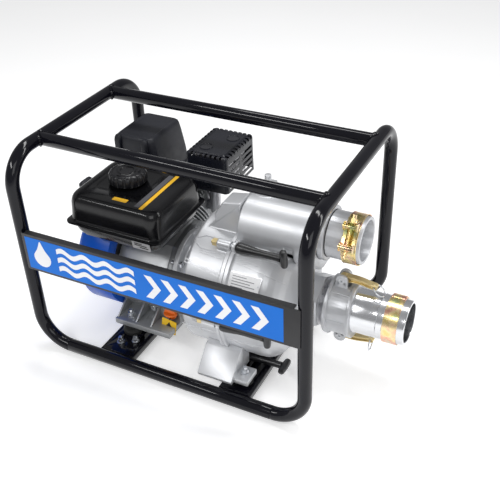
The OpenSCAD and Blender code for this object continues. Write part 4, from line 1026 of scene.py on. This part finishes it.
def oil_tag():
    """Blank tag with a drop on it, tied round the filler."""
    x, y, z = OIL_CAP
    tag = bmesh.new()
    lean = Matrix.Translation((-43, -123.8, 61)) @ Matrix.Rotation(math.radians(90), 4, "X") \
        @ Matrix.Rotation(math.radians(-9), 4, "Z")
    add_prism(tag, rounded_outline(17, 18, 2.5, 4), lean, 0.8)
    place("oil_tag", tag, "orange_plastic", material=surface(
        "tag_yellow", (0.92, 0.58, 0.015), (0.84, 0.50, 0.012), 0.0, (0.34, 0.46), (600.0, 0.00005, 0.3)))
    drop = bmesh.new()
    add_prism(drop, droplet(0, -1, 11, 28), lean @ Matrix.Translation((0, 0, 0.8)), 0.2)
    place("oil_tag_drop", drop, "orange_plastic", material=MATERIALS["rubber"])
    tie = bmesh.new()
    tie_r = 9.6
    path = [(x + dx, y - 0.2, z + dz) for dx, dz in circle(tie_r, 24)]
    add_sweep(tie, path, circle(0.8, 8), up=(0, 1, 0), looped=True)
    add_rod(tie, (x, y - 0.4, z - tie_r), (-43.5, -123.6, 75.0), 0.8, sides=10)
    place("oil_tag_tie", tie, "black_plastic")


def recoil_grip():
    """Short grip of the starter, above its guide, with the straight rod that stands for the rope."""
    x, y, rope_foot, rope_top = -241.0, -74.7, 165.0, 306.0
    grip = bmesh.new()
    half_bar = [(8.2, 9.0), (7.4, 14.0), (5.0, 16.4), (1.0, 17.0)]
    bar = [(radius, -out) for radius, out in half_bar[::-1]] + half_bar
    add_turned(grip, bar, (x, y, 330.5), (0, 1, 0), 40)
    stem = [(2.0, 304.4), (5.6, 304.4), (6.4, 306.0), (6.0, 316.0), (6.6, 322.0), (7.4, 328.0)]
    add_turned(grip, stem, (x, y, 0), (0, 0, 1), 40)
    add_rod(grip, (x, y, rope_foot), (x, y, rope_top), 2.0, sides=16)
    place("recoil_grip_shell", grip, "black_plastic", "grip", ("recoil_grip",))


def engine_details():
    """Webs over the engine's front foot, and the drain bolt."""
    webs = bmesh.new()
    outline, thick = [(-143, 62), (-89, 62), (-89, 96), (-100, 92)], 4
    for x in (-157.0, -112.0, -76.0):
        across = Matrix(((0, 0, 1, x - thick / 2), (1, 0, 0, 0), (0, 1, 0, 0), (0, 0, 0, 1)))
        add_prism(webs, outline, across, thick)
    place("engine_foot_webs", webs, "engine_casting", bevel=0.8, material=CRANKCASE)
    drain = bmesh.new()
    x, z = -95, 74
    add_rod(drain, (x, -89, z), (x, -94.5, z), 8.4, sides=32)
    add_rod(drain, (x, -94, z), (x, -101, z), 7.0, sides=6)
    place("engine_drain_bolt", drain, "zinc_steel", bevel=0.6)


PAN_LABEL = (-58.0, -163.0, 281.0)


def pan_label():
    """Plain plate under the tank's flange, with bars where its print would be."""
    lean = Matrix.Translation(PAN_LABEL) @ Matrix.Rotation(math.radians(90 + 9), 4, "X")
    plate, bars = bmesh.new(), bmesh.new()
    add_prism(plate, rounded_outline(20, 9, 1.5, 3), lean, 0.6)
    for low, high, z in ((-15, 2, 4.5), (-15, 12, 0.5), (-4, 15, -4.0)):
        add_prism(bars, [(low, z - 1.2), (high, z - 1.2), (high, z + 1.2), (low, z + 1.2)],
                  lean @ Matrix.Translation((0, 0, 0.6)), 0.15)
    place("pan_label", plate, "zinc_steel", material=surface(
        "label_grey", (0.55, 0.55, 0.56), (0.48, 0.48, 0.49), 0.0, (0.35, 0.45), (500.0, 0.00005, 0.2)))
    place("pan_label_bars", bars, "rubber")


def hex_heads():
    """Bolts round the engine's side cover and screws of the recoil cover."""
    bm = bmesh.new()
    for y, z in ((-94, 120), (-94, 176), (-66, 214), (-4, 228), (34, 198), (34, 90)):
        add_rod(bm, (-36.2, y, z), (-35.0, y, z), 8.2, sides=32)
        add_rod(bm, (-35.2, y, z), (-29.4, y, z), 6.6, sides=6)
    place("side_cover_bolts", bm, "zinc_steel", bevel=0.5)
    screws = bmesh.new()
    for angle in (45, 135, 225, 315):
        y, z = around_axis(106, angle)
        add_rod(screws, (-242.5, y, z), (-236.0, y, z), 5.2, sides=6)
    place("recoil_screws", screws, "zinc_steel", bevel=0.4)


# ---- studio ----

def add_camera():
    """Camera at the place and direction that were solved once for the rest view."""
    data = bpy.data.cameras.new("camera")
    data.lens = 57.66
    data.sensor_width = 36.0
    camera = bpy.data.objects.new("camera", data)
    forward = Vector((-0.383, 0.732, -0.563)).normalized()
    right = Vector((0.895, 0.445, -0.030))
    right = (right - right.dot(forward) * forward).normalized()
    up = right.cross(forward)
    rows = Matrix((right, up, -forward)).transposed().to_4x4()
    rows.translation = Vector((0.7051, -1.1807, 1.1187))
    camera.matrix_world = rows
    bpy.context.scene.collection.objects.link(camera)
    bpy.context.scene.camera = camera


def add_light(name, position, aim, size, power):
    data = bpy.data.lights.new(name, "AREA")
    data.shape = "RECTANGLE"
    data.size, data.size_y = size
    data.energy = power
    light = bpy.data.objects.new(name, data)
    light.location = position
    light.rotation_euler = (Vector(aim) - Vector(position)).to_track_quat("-Z", "Y").to_euler()
    bpy.context.scene.collection.objects.link(light)


def add_floor():
    half = 14.0
    corners = [(-half, -half, 0), (half, -half, 0), (half, half, 0), (-half, half, 0)]
    mesh = bpy.data.meshes.new("studio_floor")
    mesh.from_pydata(corners, [], [(0, 1, 2, 3)])
    floor = bpy.data.objects.new("studio_floor", mesh)
    bpy.context.scene.collection.objects.link(floor)
    material, tree, shader, coords = new_material("studio_paper")
    tint = ramp(tree, noise(tree, coords, 2.0), [(0.3, (0.93, 0.93, 0.93)), (0.7, (0.95, 0.95, 0.95))])
    tree.links.new(tint, shader.inputs["Base Color"])
    shader.inputs["Roughness"].default_value = 0.9
    shader.inputs["Emission Color"].default_value = (1.0, 1.0, 1.0, 1.0)
    shader.inputs["Emission Strength"].default_value = 0.34
    mesh.materials.append(material)


def add_world():
    world = bpy.data.worlds.new("studio")
    world.use_nodes = True
    background = world.node_tree.nodes["Background"]
    background.inputs["Color"].default_value = (0.98, 0.985, 1.0, 1.0)
    background.inputs["Strength"].default_value = 0.34
    bpy.context.scene.world = world
    bpy.context.scene.view_settings.view_transform = "Standard"


dress_frame()
frame_welds()
banner()
fuel_tank()
fuel_cap()
air_filter()
muffler_guard()
for casing in ("front_casing", "rear_casing"):
    cast_shell(f"{casing}_shell", casing, "pump_aluminium", voxel=1.7, rounds=5, share=0.30)
casing_ribs()
chamber_boss()
flange_bands()
data_plate()
t_handles()
cam_lever("top", 1)
cam_lever("bottom", -1)
hose_fittings()
discharge_clamp()
suction_band()
oil_cap()
oil_tag()
recoil_grip()
engine_details()
pan_label()
hex_heads()

add_camera()
add_world()
add_floor()
add_light("key", (-0.9, -1.9, 2.0), (0, 0, 0.2), (1.8, 0.22), 22.0)
add_light("top", (0.1, 0.5, 2.4), (0, 0, 0.2), (2.0, 0.3), 26.0)
add_light("front", (1.3, -1.6, 1.5), (0, 0, 0.2), (1.2, 1.2), 10.0)
add_light("rim", (1.9, 0.6, 1.3), (0, 0, 0.25), (0.2, 1.8), 12.0)

bpy.context.view_layer.update()
